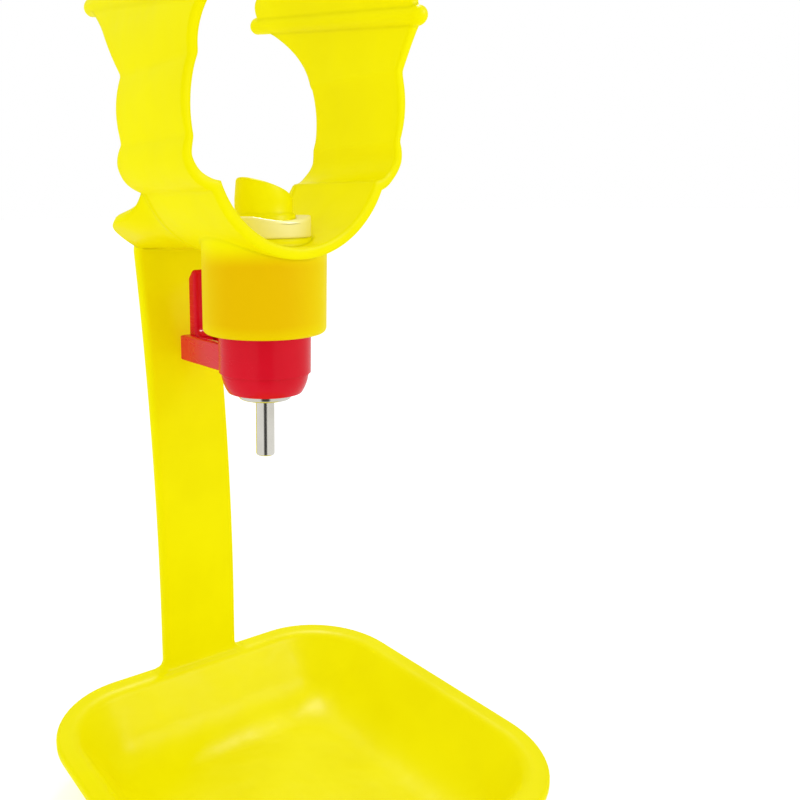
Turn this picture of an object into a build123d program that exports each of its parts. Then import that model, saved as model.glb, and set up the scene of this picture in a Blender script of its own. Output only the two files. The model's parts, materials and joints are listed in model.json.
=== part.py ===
from build123d import *
import os
from math import cos, radians, sin, sqrt, tan

os.makedirs("parts", exist_ok=True)

# Poultry nipple drinker with a drip cup, in millimetres.
# X runs across the water pipe, Y along it and Z up, with the hanging strap on the +Y side.
# The origin is on the water pipe's axis, straight above the nipple's axis.

# Water pipe, and the trough under it that carries the gripping arms
pipe_diameter = 32.0
trough_wall = 1.55
trough_radius = 13.0            # hollow side of the trough
trough_sink = 1.1               # trough floor below the seal's seat
trough_inner_drop = 10.9        # inner edges of the trough below the pipe's axis
trough_outer_drop = 12.2
trough_near = 9.2               # its end on the side away from the strap
trough_far = 9.9                # and on the strap's side

# Section of an arm in X and Z from the trough up to the lip, as shares of the pipe's radius:
# the middle and the end of each arc, on its outer and its inner face
arm_outer_shares = (
    ((0.974, -0.681), (1.069, -0.531)),
    ((1.072, -0.456), (1.040, -0.356)),
    ((1.083, -0.119), (1.026, 0.206)),
    ((1.053, 0.406), (1.022, 0.625)),
    ((0.981, 0.800), (0.913, 0.969)),
    ((0.888, 1.069), (0.913, 1.219)),
)
arm_inner_shares = (
    ((0.922, -0.609), (0.997, -0.488)),
    ((0.990, -0.419), (0.980, -0.363)),
    ((1.006, -0.125), (0.944, 0.219)),
    ((0.966, 0.406), (0.934, 0.625)),
    ((0.881, 0.800), (0.816, 0.969)),
    ((0.794, 1.069), (0.825, 1.219)),
)
lip_tip_share = (0.869, 1.263)
arm_near = 9.25                 # the arms' edges, above their feet
arm_far = 9.4
arm_near_foot = 8.75
arm_far_foot = 10.6
arm_far_knee = 4.5              # where its far edge turns outward, below the pipe's axis

# Widened head of each arm, with a sloping bead
bead_diameter = 2.6
bead_near_reach = 13.9          # bead's ends along the pipe, from the nipple's axis
bead_far_reach = 23.6
bead_near_rise = 9.8            # bead's middle above the pipe's axis
bead_far_rise = 14.4
head_near = 12.5
head_far = 21.2
head_margin = 4.4               # wall above the bead
head_corner = 2.0
flare_near_rise = 2.0           # where an arm starts to widen, above the pipe's axis
flare_far_rise = 3.0
flare_near_shares = (0.26, 0.50)    # middle of the widening curve: its width and its height
flare_far_shares = (0.30, 0.46)

# Collar that holds the nipple
collar_diameter = 17.4
collar_depth = 13.2             # below the seal's seat
collar_round = 0.8
socket_clearance = 0.06
socket_depth = 8.2

# Inlet spigot above the collar, slanted at its top
spigot_diameter = 8.0
spigot_bore = 3.6
spigot_rise = 4.55              # middle of its top above the underside of the pipe
spigot_slant = 20.5             # degrees
spigot_neck_step = 0.4          # the seal's neck is this much larger in radius
spigot_neck_rise = 3.2          # above the seal's seat
spigot_taper = 0.2              # lost in radius along its slanted end
spigot_edge = 0.35

# Pipe seal
seal_diameter = 13.0
seal_thickness = 2.3            # under the pipe's lowest line
seal_height = 2.95              # at its flat top, beside the hollow for the pipe
seal_clearance = 0.05
seat_clearance = 0.35
seal_edge = 0.25

# Hanging strap: straight at its foot, then a long gentle arc, and bent over at its head
strap_width = 14.0
strap_thickness = 2.2
strap_edge = 0.9
strap_back = 22.3               # its back face from the nipple's axis, at the foot
strap_bow_radius = 356.0
strap_bow_drop = 83.5           # start of the arc below the pipe's axis
strap_head_drop = 20.8          # end of the arc below the pipe's axis
strap_head_bend = 1.7
strap_head_run = 0.6

# Apron that spreads from the strap's head to the trough, with a wing at each side
apron_wall = 1.5
apron_wing = (14.0, 15.0, 14.2)     # half width, distance along the pipe and drop of the wing tips
apron_waist = (11.4, 22.0, 16.4)
apron_root_step = 0.6               # wider than the strap at each side
apron_floor_drops = (18.6, 18.9)    # middle of its hollow side at the wings and the waist

# Drip cup
cup_width = 60.8
cup_length = 58.1
cup_back = 22.4
cup_corner = 14.6
cup_rim_drop = 91.6             # below the pipe's axis
cup_depth = 11.8
cup_wall = 1.6
cup_slope = 34.0                # walls, in degrees from upright
cup_round = 5.0                 # outside, where the walls meet the base
cup_lip_width = 1.2
cup_lip_height = 1.8
cup_lip_round = 0.8
cup_rim_round = 1.4             # inner edge of the rim

# Nipple body, pushed into the collar
body_diameter = 13.1
body_cylinder = 5.6             # below the collar
body_cone = 2.9
body_tip_diameter = 10.6
body_cone_step = 0.12           # ledge where the cone starts
body_cone_shares = (0.35, 0.66)     # middle of the cone's curve: its width and its height
body_edge = 0.3
body_seal_thickness = 1.2
body_seal_bore = 4.4
snap_rise = 0.3                 # snap bead round the shank, in a groove of the socket
snap_gap = 0.08
snap_height = 4.0               # above the collar's end
snap_flat = 0.5
snap_slope = 0.6

# Bracket and prong moulded on the nipple body
bracket_reach = 20.0
bracket_end_width = 5.6
bracket_root_width = 10.6
bracket_rib = 1.5
bracket_end_wall = 2.4
bracket_depth = 4.1
bracket_root_drop = 1.4         # its top below the collar's end, at the body
bracket_end_drop = 2.5          # and at the outer end
prong_width = 2.6
prong_thickness = 2.3
prong_rise = 7.8                # above the collar's end
prong_nose = 2.6                # height of the slope behind its tip
prong_tip = 1.1                 # thickness left at the tip
prong_edge = 0.4
prong_root = 1.2                # widening at its foot
prong_inset = 0.3               # from the bracket's outer end

# Valve inside the nipple: bush, pin, seat, ball and retaining ring
bush_diameter = 7.6
bush_drop = 4.3                 # its top below the collar's end
bush_proud = 1.0
bush_edge = 0.35
bush_throat = 3.9
bush_mouth = 5.2
chamber_diameter = 7.2
seat_diameter = 8.4
seat_thickness = 1.2
seat_rise = 2.0                 # its underside above the collar's end
seat_hole = 2.9
seat_mouth = 4.8
ball_diameter = 4.0
cage_bore = 5.0
pin_diameter = 2.7
pin_head_diameter = 4.6
pin_end_drop = 17.9             # below the collar's end
pin_end_edge = 0.25
pin_tail_diameter = 1.3
pin_tail_gap = 0.18             # under the ball
fit_gap = 0.03                  # between pieces pushed into each other
rest_gap = 0.03                 # between a ball or head and its seat
overrun = 1.0                   # how far a cutter passes the face that it opens

# Heights that follow from the sizes
pipe_radius = pipe_diameter / 2
spigot_radius = spigot_diameter / 2
seat_z = -(pipe_radius + seal_thickness)
trough_floor_z = seat_z - trough_sink
trough_axis_z = trough_floor_z + trough_radius
collar_z = seat_z - collar_depth
socket_top_z = collar_z + socket_depth
body_top_z = socket_top_z - body_seal_thickness
body_cone_z = collar_z - body_cylinder
body_tip_z = body_cone_z - body_cone
spigot_top_z = -pipe_radius + spigot_rise
bush_z = collar_z - bush_drop
seat_disc_z = collar_z + seat_rise
cage_z = seat_disc_z + seat_thickness
cup_rim_z = -cup_rim_drop
cup_base_z = cup_rim_z - cup_depth
cup_middle = cup_back - cup_length / 2
bead_radius = bead_diameter / 2
shank_radius = body_diameter / 2
socket_radius = shank_radius + socket_clearance


def cylinder(diameter, low, high):
    """Upright cylinder on the nipple's axis between two heights."""
    return Pos(0, 0, (low + high) / 2) * Cylinder(diameter / 2, high - low)


def turned(points):
    """Solid turned round the nipple's axis from (radius, height) points of half its section."""
    section = make_face(Polyline(*[(r, 0, z) for r, z in points], close=True))
    return revolve(section, Axis.Z)


def along_pipe(sketch, near, far):
    """Extrude a sketch drawn in X and Z along the pipe, between two places on Y."""
    end = Plane(origin=(0, far, 0), x_dir=(1, 0, 0), z_dir=(0, -1, 0))
    return extrude(end * sketch, far - near, dir=end.z_dir)


def across_pipe(sketch, half_width):
    """Extrude a sketch drawn in Y and Z across the pipe, equally to both sides."""
    side = Plane(origin=(-half_width, 0, 0), x_dir=(0, 1, 0), z_dir=(1, 0, 0))
    return extrude(side * sketch, half_width + half_width, dir=side.z_dir)


def rod(start, end, radius):
    """Round rod with spherical ends between two points."""
    run = Vector(*end) - Vector(*start)
    shaft = Plane(origin=start, z_dir=run) * Pos(0, 0, run.length / 2) * Cylinder(radius, run.length)
    return shaft + Pos(*start) * Sphere(radius) + Pos(*end) * Sphere(radius)


# Clip: a trough and two arms of one wall


def scaled(shares):
    """Places in X and Z of shares of the pipe's radius."""
    return tuple(share * pipe_radius for share in shares)


def arc_chain(start, arcs):
    """Arcs from a start place through the middle and end shares of each arc."""
    chain = Curve()
    here = start
    for middle, end in arcs:
        chain += ThreePointArc(here, scaled(middle), scaled(end))
        here = scaled(end)
    return chain, here


def arm_middle(rise):
    """Distance of the middle of the arm's wall from the middle plane at a height over the axis."""
    total = 0
    for arcs in (arm_outer_shares, arm_inner_shares):
        places = [scaled(place) for arc in arcs for place in arc]
        for (x0, z0), (x1, z1) in zip(places, places[1:]):
            if z0 <= rise <= z1:
                total += x0 + (x1 - x0) * (rise - z0) / (z1 - z0)
    return total / 2


def trough_half(radius, drop):
    """Half width of the trough on one of its round faces at a drop below the pipe's axis."""
    return sqrt(radius**2 - (trough_axis_z + drop) ** 2)


def clip_section():
    """Section of the trough and both arms in X and Z."""
    outer_radius = trough_radius + trough_wall
    outer_foot = (trough_half(outer_radius, trough_outer_drop), -trough_outer_drop)
    inner_foot = (trough_half(trough_radius, trough_inner_drop), -trough_inner_drop)
    outer, outer_end = arc_chain(outer_foot, arm_outer_shares)
    inner, inner_end = arc_chain(inner_foot, arm_inner_shares)
    tip = ThreePointArc(outer_end, scaled(lip_tip_share), inner_end)
    right = outer + inner + tip
    left = mirror(right, about=Plane.YZ)
    lines = right + left
    for (x, z), radius in ((outer_foot, outer_radius), (inner_foot, trough_radius)):
        lines += ThreePointArc((-x, z), (0, trough_axis_z - radius), (x, z))
    return make_face(lines)


def arm_outline():
    """Side outline of the clip in Y and Z: upright below, widening into a sloping head."""
    low = -pipe_diameter
    near_bead = (-head_near, bead_near_rise - bead_radius / 2)
    far_bead = (head_far, bead_far_rise - bead_radius / 2)
    near_top = (-head_near, bead_near_rise + head_margin)
    far_top = (head_far, bead_far_rise + head_margin)
    near_start = (-arm_near, flare_near_rise)
    far_start = (arm_far, flare_far_rise)
    near_foot = (-arm_near_foot, -trough_inner_drop)
    far_foot = (arm_far_foot, -trough_inner_drop)
    far_knee = (arm_far, -arm_far_knee)

    def between(start, end, shares):
        return tuple(a + (b - a) * share for a, b, share in zip(start, end, shares))

    far_curve = ThreePointArc(far_bead, between(far_start, far_bead, flare_far_shares), far_start)
    near_curve = ThreePointArc(
        near_start, between(near_start, near_bead, flare_near_shares), near_bead
    )
    lines = Polyline(near_bead, near_top, far_top, far_bead)
    lines += Polyline(far_start, far_knee, far_foot, (trough_far, -trough_outer_drop))
    lines += Line((trough_far, -trough_outer_drop), (trough_far, low))
    lines += Polyline((trough_far, low), (-trough_near, low), (-trough_near, -trough_outer_drop))
    lines += Polyline((-trough_near, -trough_outer_drop), near_foot, near_start)
    face = make_face(lines + far_curve + near_curve)
    tops = face.vertices().group_by(Axis.Y)
    return fillet([tops[-1][-1], tops[0][-1]], head_corner)


def clip_body():
    """Trough and both arms, cut to their side outline, with a bead along each arm's head."""
    band = along_pipe(clip_section(), -bead_near_reach, bead_far_reach)
    body = band & across_pipe(arm_outline(), pipe_diameter)
    near_y = bead_radius - bead_near_reach
    far_y = bead_far_reach - bead_radius
    bead = rod(
        (arm_middle(bead_near_rise), near_y, bead_near_rise),
        (arm_middle(bead_far_rise), far_y, bead_far_rise),
        bead_radius,
    )
    return body + bead + mirror(bead, about=Plane.YZ)


# Apron and hanging strap


def gutter_section(place_y, half_width, tip_z, floor_z):
    """Upright section across the pipe of a round-bottomed gutter of the apron's wall."""
    rise = tip_z - floor_z
    radius = (half_width**2 + rise**2) / (rise + rise)
    axis_z = floor_z + radius
    out_share = (radius + apron_wall) / radius
    out_x = half_width * out_share
    out_z = axis_z + (tip_z - axis_z) * out_share
    section = ThreePointArc((-half_width, tip_z), (0, floor_z), (half_width, tip_z))
    section += Line((half_width, tip_z), (out_x, out_z))
    section += ThreePointArc((out_x, out_z), (0, floor_z - apron_wall), (-out_x, out_z))
    section += Line((-out_x, out_z), (-half_width, tip_z))
    plane = Plane(origin=(0, place_y, 0), x_dir=(1, 0, 0), z_dir=(0, -1, 0))
    return plane * make_face(section)


def strap_line():
    """Middle line of the strap in Y and Z: foot, arc and bent head, with the head's end place."""
    foot_y = strap_back - strap_thickness / 2
    bow_z = -strap_bow_drop
    head_z = -strap_head_drop
    turn = (head_z - bow_z) / strap_bow_radius
    half = turn / 2
    middle = (foot_y + strap_bow_radius * (1 - cos(half)), bow_z + strap_bow_radius * sin(half))
    top = (foot_y + strap_bow_radius * (1 - cos(turn)), bow_z + strap_bow_radius * sin(turn))
    foot = (foot_y, cup_rim_z - cup_lip_height)
    bend_end = (top[0] - strap_head_bend, top[1] + strap_head_bend)
    end = (bend_end[0] - strap_head_run, bend_end[1])
    line = Line(foot, (foot_y, bow_z)) + ThreePointArc((foot_y, bow_z), middle, top)
    line += TangentArc(top, bend_end, tangent=(sin(turn), cos(turn)))
    line += Line(bend_end, end)
    return Plane.YZ * line, end


def strap_body():
    """Strap of one rounded section carried along its line."""
    line, _ = strap_line()
    start = Plane(origin=line @ 0, x_dir=(1, 0, 0), z_dir=(0, 0, 1))
    section = start * RectangleRounded(strap_width, strap_thickness, strap_edge)
    return sweep(section, path=Wire(line.edges()))


def apron_body():
    """Apron blended from the trough's end, over the wings, down to the strap's head."""
    _, (end_y, end_z) = strap_line()
    wing_width, wing_y, wing_drop = apron_wing
    waist_width, waist_y, waist_drop = apron_waist
    wing_floor, waist_floor = apron_floor_drops
    rim_half = trough_half(trough_radius, trough_inner_drop)
    root_half = strap_width / 2 + apron_root_step
    root_z = end_z + strap_thickness / 2
    sections = [
        gutter_section(trough_far, rim_half, -trough_inner_drop, trough_floor_z),
        gutter_section(wing_y, wing_width, -wing_drop, -wing_floor),
        gutter_section(waist_y, waist_width, -waist_drop, -waist_floor),
        gutter_section(end_y, root_half, root_z, root_z - apron_wall / 4),
    ]
    return loft(sections)


# Drip cup


def cup_shell(inset, base_z, top_z, round_radius):
    """Rounded square block that narrows downward from the rim, its walls inset all round."""
    top = RectangleRounded(cup_width - 2 * inset, cup_length - 2 * inset, cup_corner - inset)
    narrow = inset + (top_z - base_z) * tan(radians(cup_slope))
    base = RectangleRounded(cup_width - 2 * narrow, cup_length - 2 * narrow, cup_corner - narrow)
    body = loft([Pos(0, cup_middle, base_z) * base, Pos(0, cup_middle, top_z) * top])
    return fillet(body.faces().sort_by(Axis.Z)[0].edges(), round_radius)


def cup_solids():
    """The cup's outside with its lip, and the hollow to take out of it."""
    side_inset = cup_lip_width
    outside = cup_shell(side_inset, cup_base_z, cup_rim_z, cup_round)
    lip_plan = RectangleRounded(cup_width, cup_length, cup_corner)
    lip = Pos(0, cup_middle, cup_rim_z) * extrude(lip_plan, -cup_lip_height)
    lip = fillet(lip.faces().sort_by(Axis.Z)[0].edges(), cup_lip_round)
    hollow_inset = side_inset + cup_wall / cos(radians(cup_slope))
    hollow_base = cup_base_z + cup_wall
    hollow = cup_shell(hollow_inset, hollow_base, cup_rim_z, cup_round - cup_wall / 2)
    return outside + lip, hollow


def drip_cup():
    """Clip, collar, spigot, apron, strap and cup, moulded as one piece."""
    outside, hollow = cup_solids()
    cup = outside - hollow
    rim = cup.faces().filter_by(Axis.Z).sort_by(Axis.Z)[-1]
    cup = fillet(rim.inner_wires()[0].edges(), cup_rim_round) + strap_body()
    collar = cylinder(collar_diameter, collar_z, trough_axis_z)
    collar = fillet(collar.edges().group_by(Axis.Z)[0], collar_round)
    collar -= Pos(0, 0, trough_axis_z) * Rot(90, 0, 0) * Cylinder(trough_radius, collar_diameter)
    well_diameter = seal_diameter + 2 * seat_clearance
    clip = clip_body() + collar - cylinder(well_diameter, seat_z, seat_z + pipe_radius)
    seat = cylinder(well_diameter, trough_floor_z - overrun, seat_z)
    neck_diameter = spigot_diameter + 2 * spigot_neck_step
    neck = cylinder(neck_diameter, seat_z - overrun, seat_z + spigot_neck_rise)
    body = clip + seat + neck + spigot() + apron_body() + cup
    body -= cylinder(spigot_bore, collar_z - overrun, pipe_radius)
    return body - socket()


def spigot():
    """Inlet spigot with its slanted top."""
    fall = spigot_radius * tan(radians(spigot_slant))
    straight_z = spigot_top_z - fall - spigot_taper / 2
    post = turned([
        (0, seat_z), (spigot_radius, seat_z), (spigot_radius, straight_z),
        (spigot_radius - spigot_taper, spigot_top_z + fall + spigot_edge),
        (0, spigot_top_z + fall + spigot_edge),
    ])
    cutter = Pos(0, 0, spigot_top_z) * Rot(0, spigot_slant, 0)
    cutter = cutter * Pos(0, 0, pipe_radius) * Box(pipe_diameter, pipe_diameter, pipe_diameter)
    post -= cutter
    return chamfer(post.faces().sort_by(Axis.Z)[-1].edges(), spigot_edge)


def snap_points(radius, rise, gap):
    """Section points of the snap bead, or of its groove with a gap, from below upward."""
    middle = collar_z + snap_height
    half = snap_flat / 2
    reach = half + snap_slope
    return [
        (radius, middle - reach - gap),
        (radius + rise, middle - half - gap),
        (radius + rise, middle + half + gap),
        (radius, middle + reach + gap),
    ]


def socket():
    """Hollow of the collar that takes the nipple's shank, with the snap groove."""
    low = collar_z - overrun
    groove = snap_points(socket_radius, snap_rise, snap_gap)
    top = socket_top_z
    return turned([(0, low), (socket_radius, low), *groove, (socket_radius, top), (0, top)])


def pipe_seal():
    """Soft ring round the spigot's neck, its top hollowed to the pipe."""
    inner = spigot_diameter + 2 * (spigot_neck_step + seal_clearance)
    ring = cylinder(seal_diameter, seat_z, seat_z + seal_height) - cylinder(inner, seat_z, 0)
    ring = chamfer(ring.edges().filter_by(GeomType.CIRCLE).group_by(Axis.Z)[0], seal_edge)
    return ring - Rot(90, 0, 0) * Cylinder(pipe_radius, pipe_diameter)


# Nipple


def bracket():
    """Open bracket of two ribs and an end wall, with the prong standing on its end."""
    root_y = shank_radius / 2
    end_y = bracket_reach
    root_half = bracket_root_width / 2
    end_half = bracket_end_width / 2
    inner_y = end_y - bracket_end_wall
    plan = Polygon(
        (-root_half, root_y), (root_half, root_y), (end_half, end_y), (-end_half, end_y), align=None
    )
    taper = (root_half - end_half) / (end_y - root_y)
    inner_half = end_half + taper * bracket_end_wall - bracket_rib
    inner_root = root_half - bracket_rib
    plan -= Polygon(
        (-inner_root, root_y), (inner_root, root_y), (inner_half, inner_y), (-inner_half, inner_y),
        align=None,
    )
    root_z = collar_z - bracket_root_drop
    end_z = collar_z - bracket_end_drop
    loop = Pos(0, 0, end_z - bracket_depth) * extrude(plan, root_z - end_z + bracket_depth, dir=(0, 0, 1))
    side = Polygon(
        (0, root_z), (end_y, end_z), (end_y, end_z - bracket_depth), (0, root_z - bracket_depth),
        align=None,
    )
    loop = loop & across_pipe(side, bracket_root_width)
    return loop + prong(end_y, end_z)


def prong(end_y, end_z):
    """Upright prong with a sloped nose behind its tip, rounded out where it meets the bracket."""
    back = end_y - prong_inset
    front = back - prong_thickness
    top = collar_z + prong_rise
    low = end_z - bracket_depth / 2
    side = Polygon(
        (back, low), (back, top - prong_nose), (front + prong_tip, top), (front, top),
        (front, end_z + prong_root), (front - prong_root, end_z), (front - prong_root, low),
        align=None,
    )
    side = fillet(side.vertices().sort_by_distance((front, end_z + prong_root))[0], prong_root)
    body = across_pipe(side, prong_width / 2)
    return fillet(body.edges().filter_by(Axis.X).sort_by(Axis.Z)[-3:], prong_edge)


def nipple_body():
    """Shank, cylinder and cone with the valve's stepped bore, and the bracket."""
    tip = body_tip_diameter / 2
    root = shank_radius - body_cone_step
    width_share, height_share = body_cone_shares
    middle = (root - (root - tip) * width_share, body_cone_z - body_cone * height_share)
    outline = [
        (root, body_cone_z), (shank_radius, body_cone_z), *snap_points(shank_radius, snap_rise, 0),
        (shank_radius, body_top_z - body_edge), (shank_radius - body_edge, body_top_z),
        (0, body_top_z), (0, body_tip_z), (tip, body_tip_z),
    ]
    section = Polyline(*outline) + ThreePointArc((tip, body_tip_z), middle, (root, body_cone_z))
    body = revolve(make_face(Plane.XZ * section), Axis.Z) + bracket()
    body -= cylinder(bush_diameter, body_tip_z - overrun, bush_z)
    body -= cylinder(chamber_diameter, bush_z - overrun, seat_disc_z + overrun)
    return body - cylinder(seat_diameter, seat_disc_z, body_top_z + overrun)


# Valve


def pin_bush():
    """Steel bush whose hole widens downward, so that the pin can tip."""
    radius = bush_diameter / 2 - fit_gap
    low = body_tip_z - bush_proud
    bush = turned([
        (bush_throat / 2, bush_z), (radius, bush_z), (radius, low + bush_edge),
        (radius - bush_edge, low), (bush_mouth / 2, low),
    ])
    return bush


def head_middle_z():
    """Middle of the pin's round head, resting on the upper edge of the bush's hole."""
    head = pin_head_diameter / 2 + rest_gap
    return bush_z + sqrt(head**2 - (bush_throat / 2) ** 2)


def ball_middle_z():
    """Middle of the ball, resting on the upper edge of the seat's hole."""
    ball = ball_diameter / 2 + rest_gap
    return cage_z + sqrt(ball**2 - (seat_hole / 2) ** 2)


def trigger_pin():
    """Steel pin with a round head and a thin tail under the ball."""
    middle = head_middle_z()
    end = collar_z - pin_end_drop
    tail_top = ball_middle_z() - ball_diameter / 2 - pin_tail_gap
    pin = cylinder(pin_diameter, end, middle)
    pin = chamfer(pin.edges().group_by(Axis.Z)[0], pin_end_edge)
    tail = cylinder(pin_tail_diameter, middle, tail_top)
    return pin + Pos(0, 0, middle) * Sphere(pin_head_diameter / 2) + tail


def ball_seat():
    """Steel seat disc, its hole wide below for the pin's tail."""
    radius = seat_diameter / 2 - fit_gap
    return turned([
        (seat_mouth / 2, seat_disc_z), (radius, seat_disc_z), (radius, cage_z), (seat_hole / 2, cage_z),
    ])


def seat_retainer():
    """Ring pressed in above the seat disc, which cages the ball."""
    ring = cylinder(seat_diameter - 2 * fit_gap, cage_z, body_top_z)
    return ring - cylinder(cage_bore, cage_z - overrun, body_top_z + overrun)


def body_seal():
    """Flat washer between the nipple body and the socket's end."""
    washer = cylinder(body_diameter, body_top_z, socket_top_z)
    return washer - cylinder(body_seal_bore, body_top_z - overrun, socket_top_z + overrun)


def valve_ball():
    """Steel ball on its seat."""
    return Pos(0, 0, ball_middle_z()) * Sphere(ball_diameter / 2)


pieces = {
    "drip_cup": drip_cup,
    "pipe_seal": pipe_seal,
    "nipple_body": nipple_body,
    "pin_bush": pin_bush,
    "trigger_pin": trigger_pin,
    "ball_seat": ball_seat,
    "seat_retainer": seat_retainer,
    "valve_ball": valve_ball,
    "body_seal": body_seal,
}
for name, build in pieces.items():
    export_step(build(), f"parts/{name}.step")
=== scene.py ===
"""Looks of a clip-on poultry nipple drinker with a drip cup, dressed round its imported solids.

Sizes of the pieces are in millimetres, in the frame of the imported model: Z up, Y along the water
pipe and X across it, with the nipple's axis where X and Y are zero. A mesh is scaled to metres as
it is made. The camera, the lights and the finishes are in metres.
"""

import json
import logging
import math
from dataclasses import dataclass
from enum import Enum

import bmesh
import bpy
import numpy as np
from mathutils import Matrix, Vector


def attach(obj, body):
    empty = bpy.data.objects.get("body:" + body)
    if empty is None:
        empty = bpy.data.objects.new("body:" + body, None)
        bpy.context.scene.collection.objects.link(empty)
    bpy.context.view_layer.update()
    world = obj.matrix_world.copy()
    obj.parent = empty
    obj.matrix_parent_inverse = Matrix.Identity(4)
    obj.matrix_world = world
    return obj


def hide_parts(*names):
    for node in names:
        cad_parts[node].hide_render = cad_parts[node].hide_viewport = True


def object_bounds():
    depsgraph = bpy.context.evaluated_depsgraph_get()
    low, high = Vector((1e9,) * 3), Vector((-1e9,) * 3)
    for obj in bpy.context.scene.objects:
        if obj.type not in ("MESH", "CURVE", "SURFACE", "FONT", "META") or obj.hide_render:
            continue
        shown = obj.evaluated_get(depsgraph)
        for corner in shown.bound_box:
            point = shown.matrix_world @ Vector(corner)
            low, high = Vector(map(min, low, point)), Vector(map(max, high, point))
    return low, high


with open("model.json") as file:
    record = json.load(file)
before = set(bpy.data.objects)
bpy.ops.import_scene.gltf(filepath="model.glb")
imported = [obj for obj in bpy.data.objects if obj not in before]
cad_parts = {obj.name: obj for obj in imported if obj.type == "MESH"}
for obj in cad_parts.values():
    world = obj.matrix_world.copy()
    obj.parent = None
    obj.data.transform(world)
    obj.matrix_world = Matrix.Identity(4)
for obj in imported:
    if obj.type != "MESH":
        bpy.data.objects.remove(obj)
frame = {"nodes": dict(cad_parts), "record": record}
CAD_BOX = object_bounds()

LOG = logging.getLogger("drinker")
MM = 0.001
PHOTO_SIDE = 800
WHITE = (1.0, 1.0, 1.0, 1.0)
LEVEL = (1.0, 1.0, 0.0)
UPRIGHT = (0.0, 0.0, 1.0)
MIRROR = (-1.0, 1.0, 1.0)
Pair = tuple[float, float]
Triple = tuple[float, float, float]
Rows = tuple[Pair, ...]
Arcs = tuple[tuple[Pair, Pair], ...]
Colour = tuple[int, int, int]
Feeds = dict[str | int, object]


# Photograph's camera


@dataclass(frozen=True)
class PhotoCamera:
    """Camera at the photograph's place.

    The place and angles come from the drinker's own measured points. Pixels are the photograph's.
    """

    azimuth_deg: float = -31.504
    elevation_deg: float = 11.07
    roll_deg: float = -0.939
    focal_px: float = 852.3
    centre_px: Pair = (228.5, 371.2)
    place: Triple = (-0.06664, -0.09883, -0.01374)
    sensor_width: float = 36.0
    near_clip: float = 0.005
    far_clip: float = 20.0

    def rotation(self) -> Matrix:
        """Camera axes: right, up and backward, with the roll about the last.

        Returns:
            A matrix with the axes as its columns.
        """
        azimuth = math.radians(self.azimuth_deg)
        elevation = math.radians(self.elevation_deg)
        roll = math.radians(self.roll_deg)
        back = Vector((
            math.sin(azimuth) * math.cos(elevation),
            -math.cos(azimuth) * math.cos(elevation),
            math.sin(elevation),
        ))
        right = Vector((math.cos(azimuth), math.sin(azimuth), 0.0))
        up = back.cross(right)
        turned_right = math.cos(roll) * right + math.sin(roll) * up
        turned_up = math.cos(roll) * up - math.sin(roll) * right
        return Matrix((turned_right, turned_up, back)).transposed()

    def build(self) -> bpy.types.Object:
        """Create the camera and make it the scene's own.

        Returns:
            The camera's object.
        """
        data = bpy.data.cameras.new("photo_camera")
        data.sensor_width = self.sensor_width
        data.lens = self.focal_px * self.sensor_width / PHOTO_SIDE
        data.shift_x = 0.5 - self.centre_px[0] / PHOTO_SIDE
        data.shift_y = self.centre_px[1] / PHOTO_SIDE - 0.5
        data.clip_start = self.near_clip
        data.clip_end = self.far_clip
        camera = bpy.data.objects.new("photo_camera", data)
        camera.matrix_world = Matrix.Translation(self.place) @ self.rotation().to_4x4()
        bpy.context.scene.collection.objects.link(camera)
        bpy.context.scene.camera = camera
        return camera


# Node sheets


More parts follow.
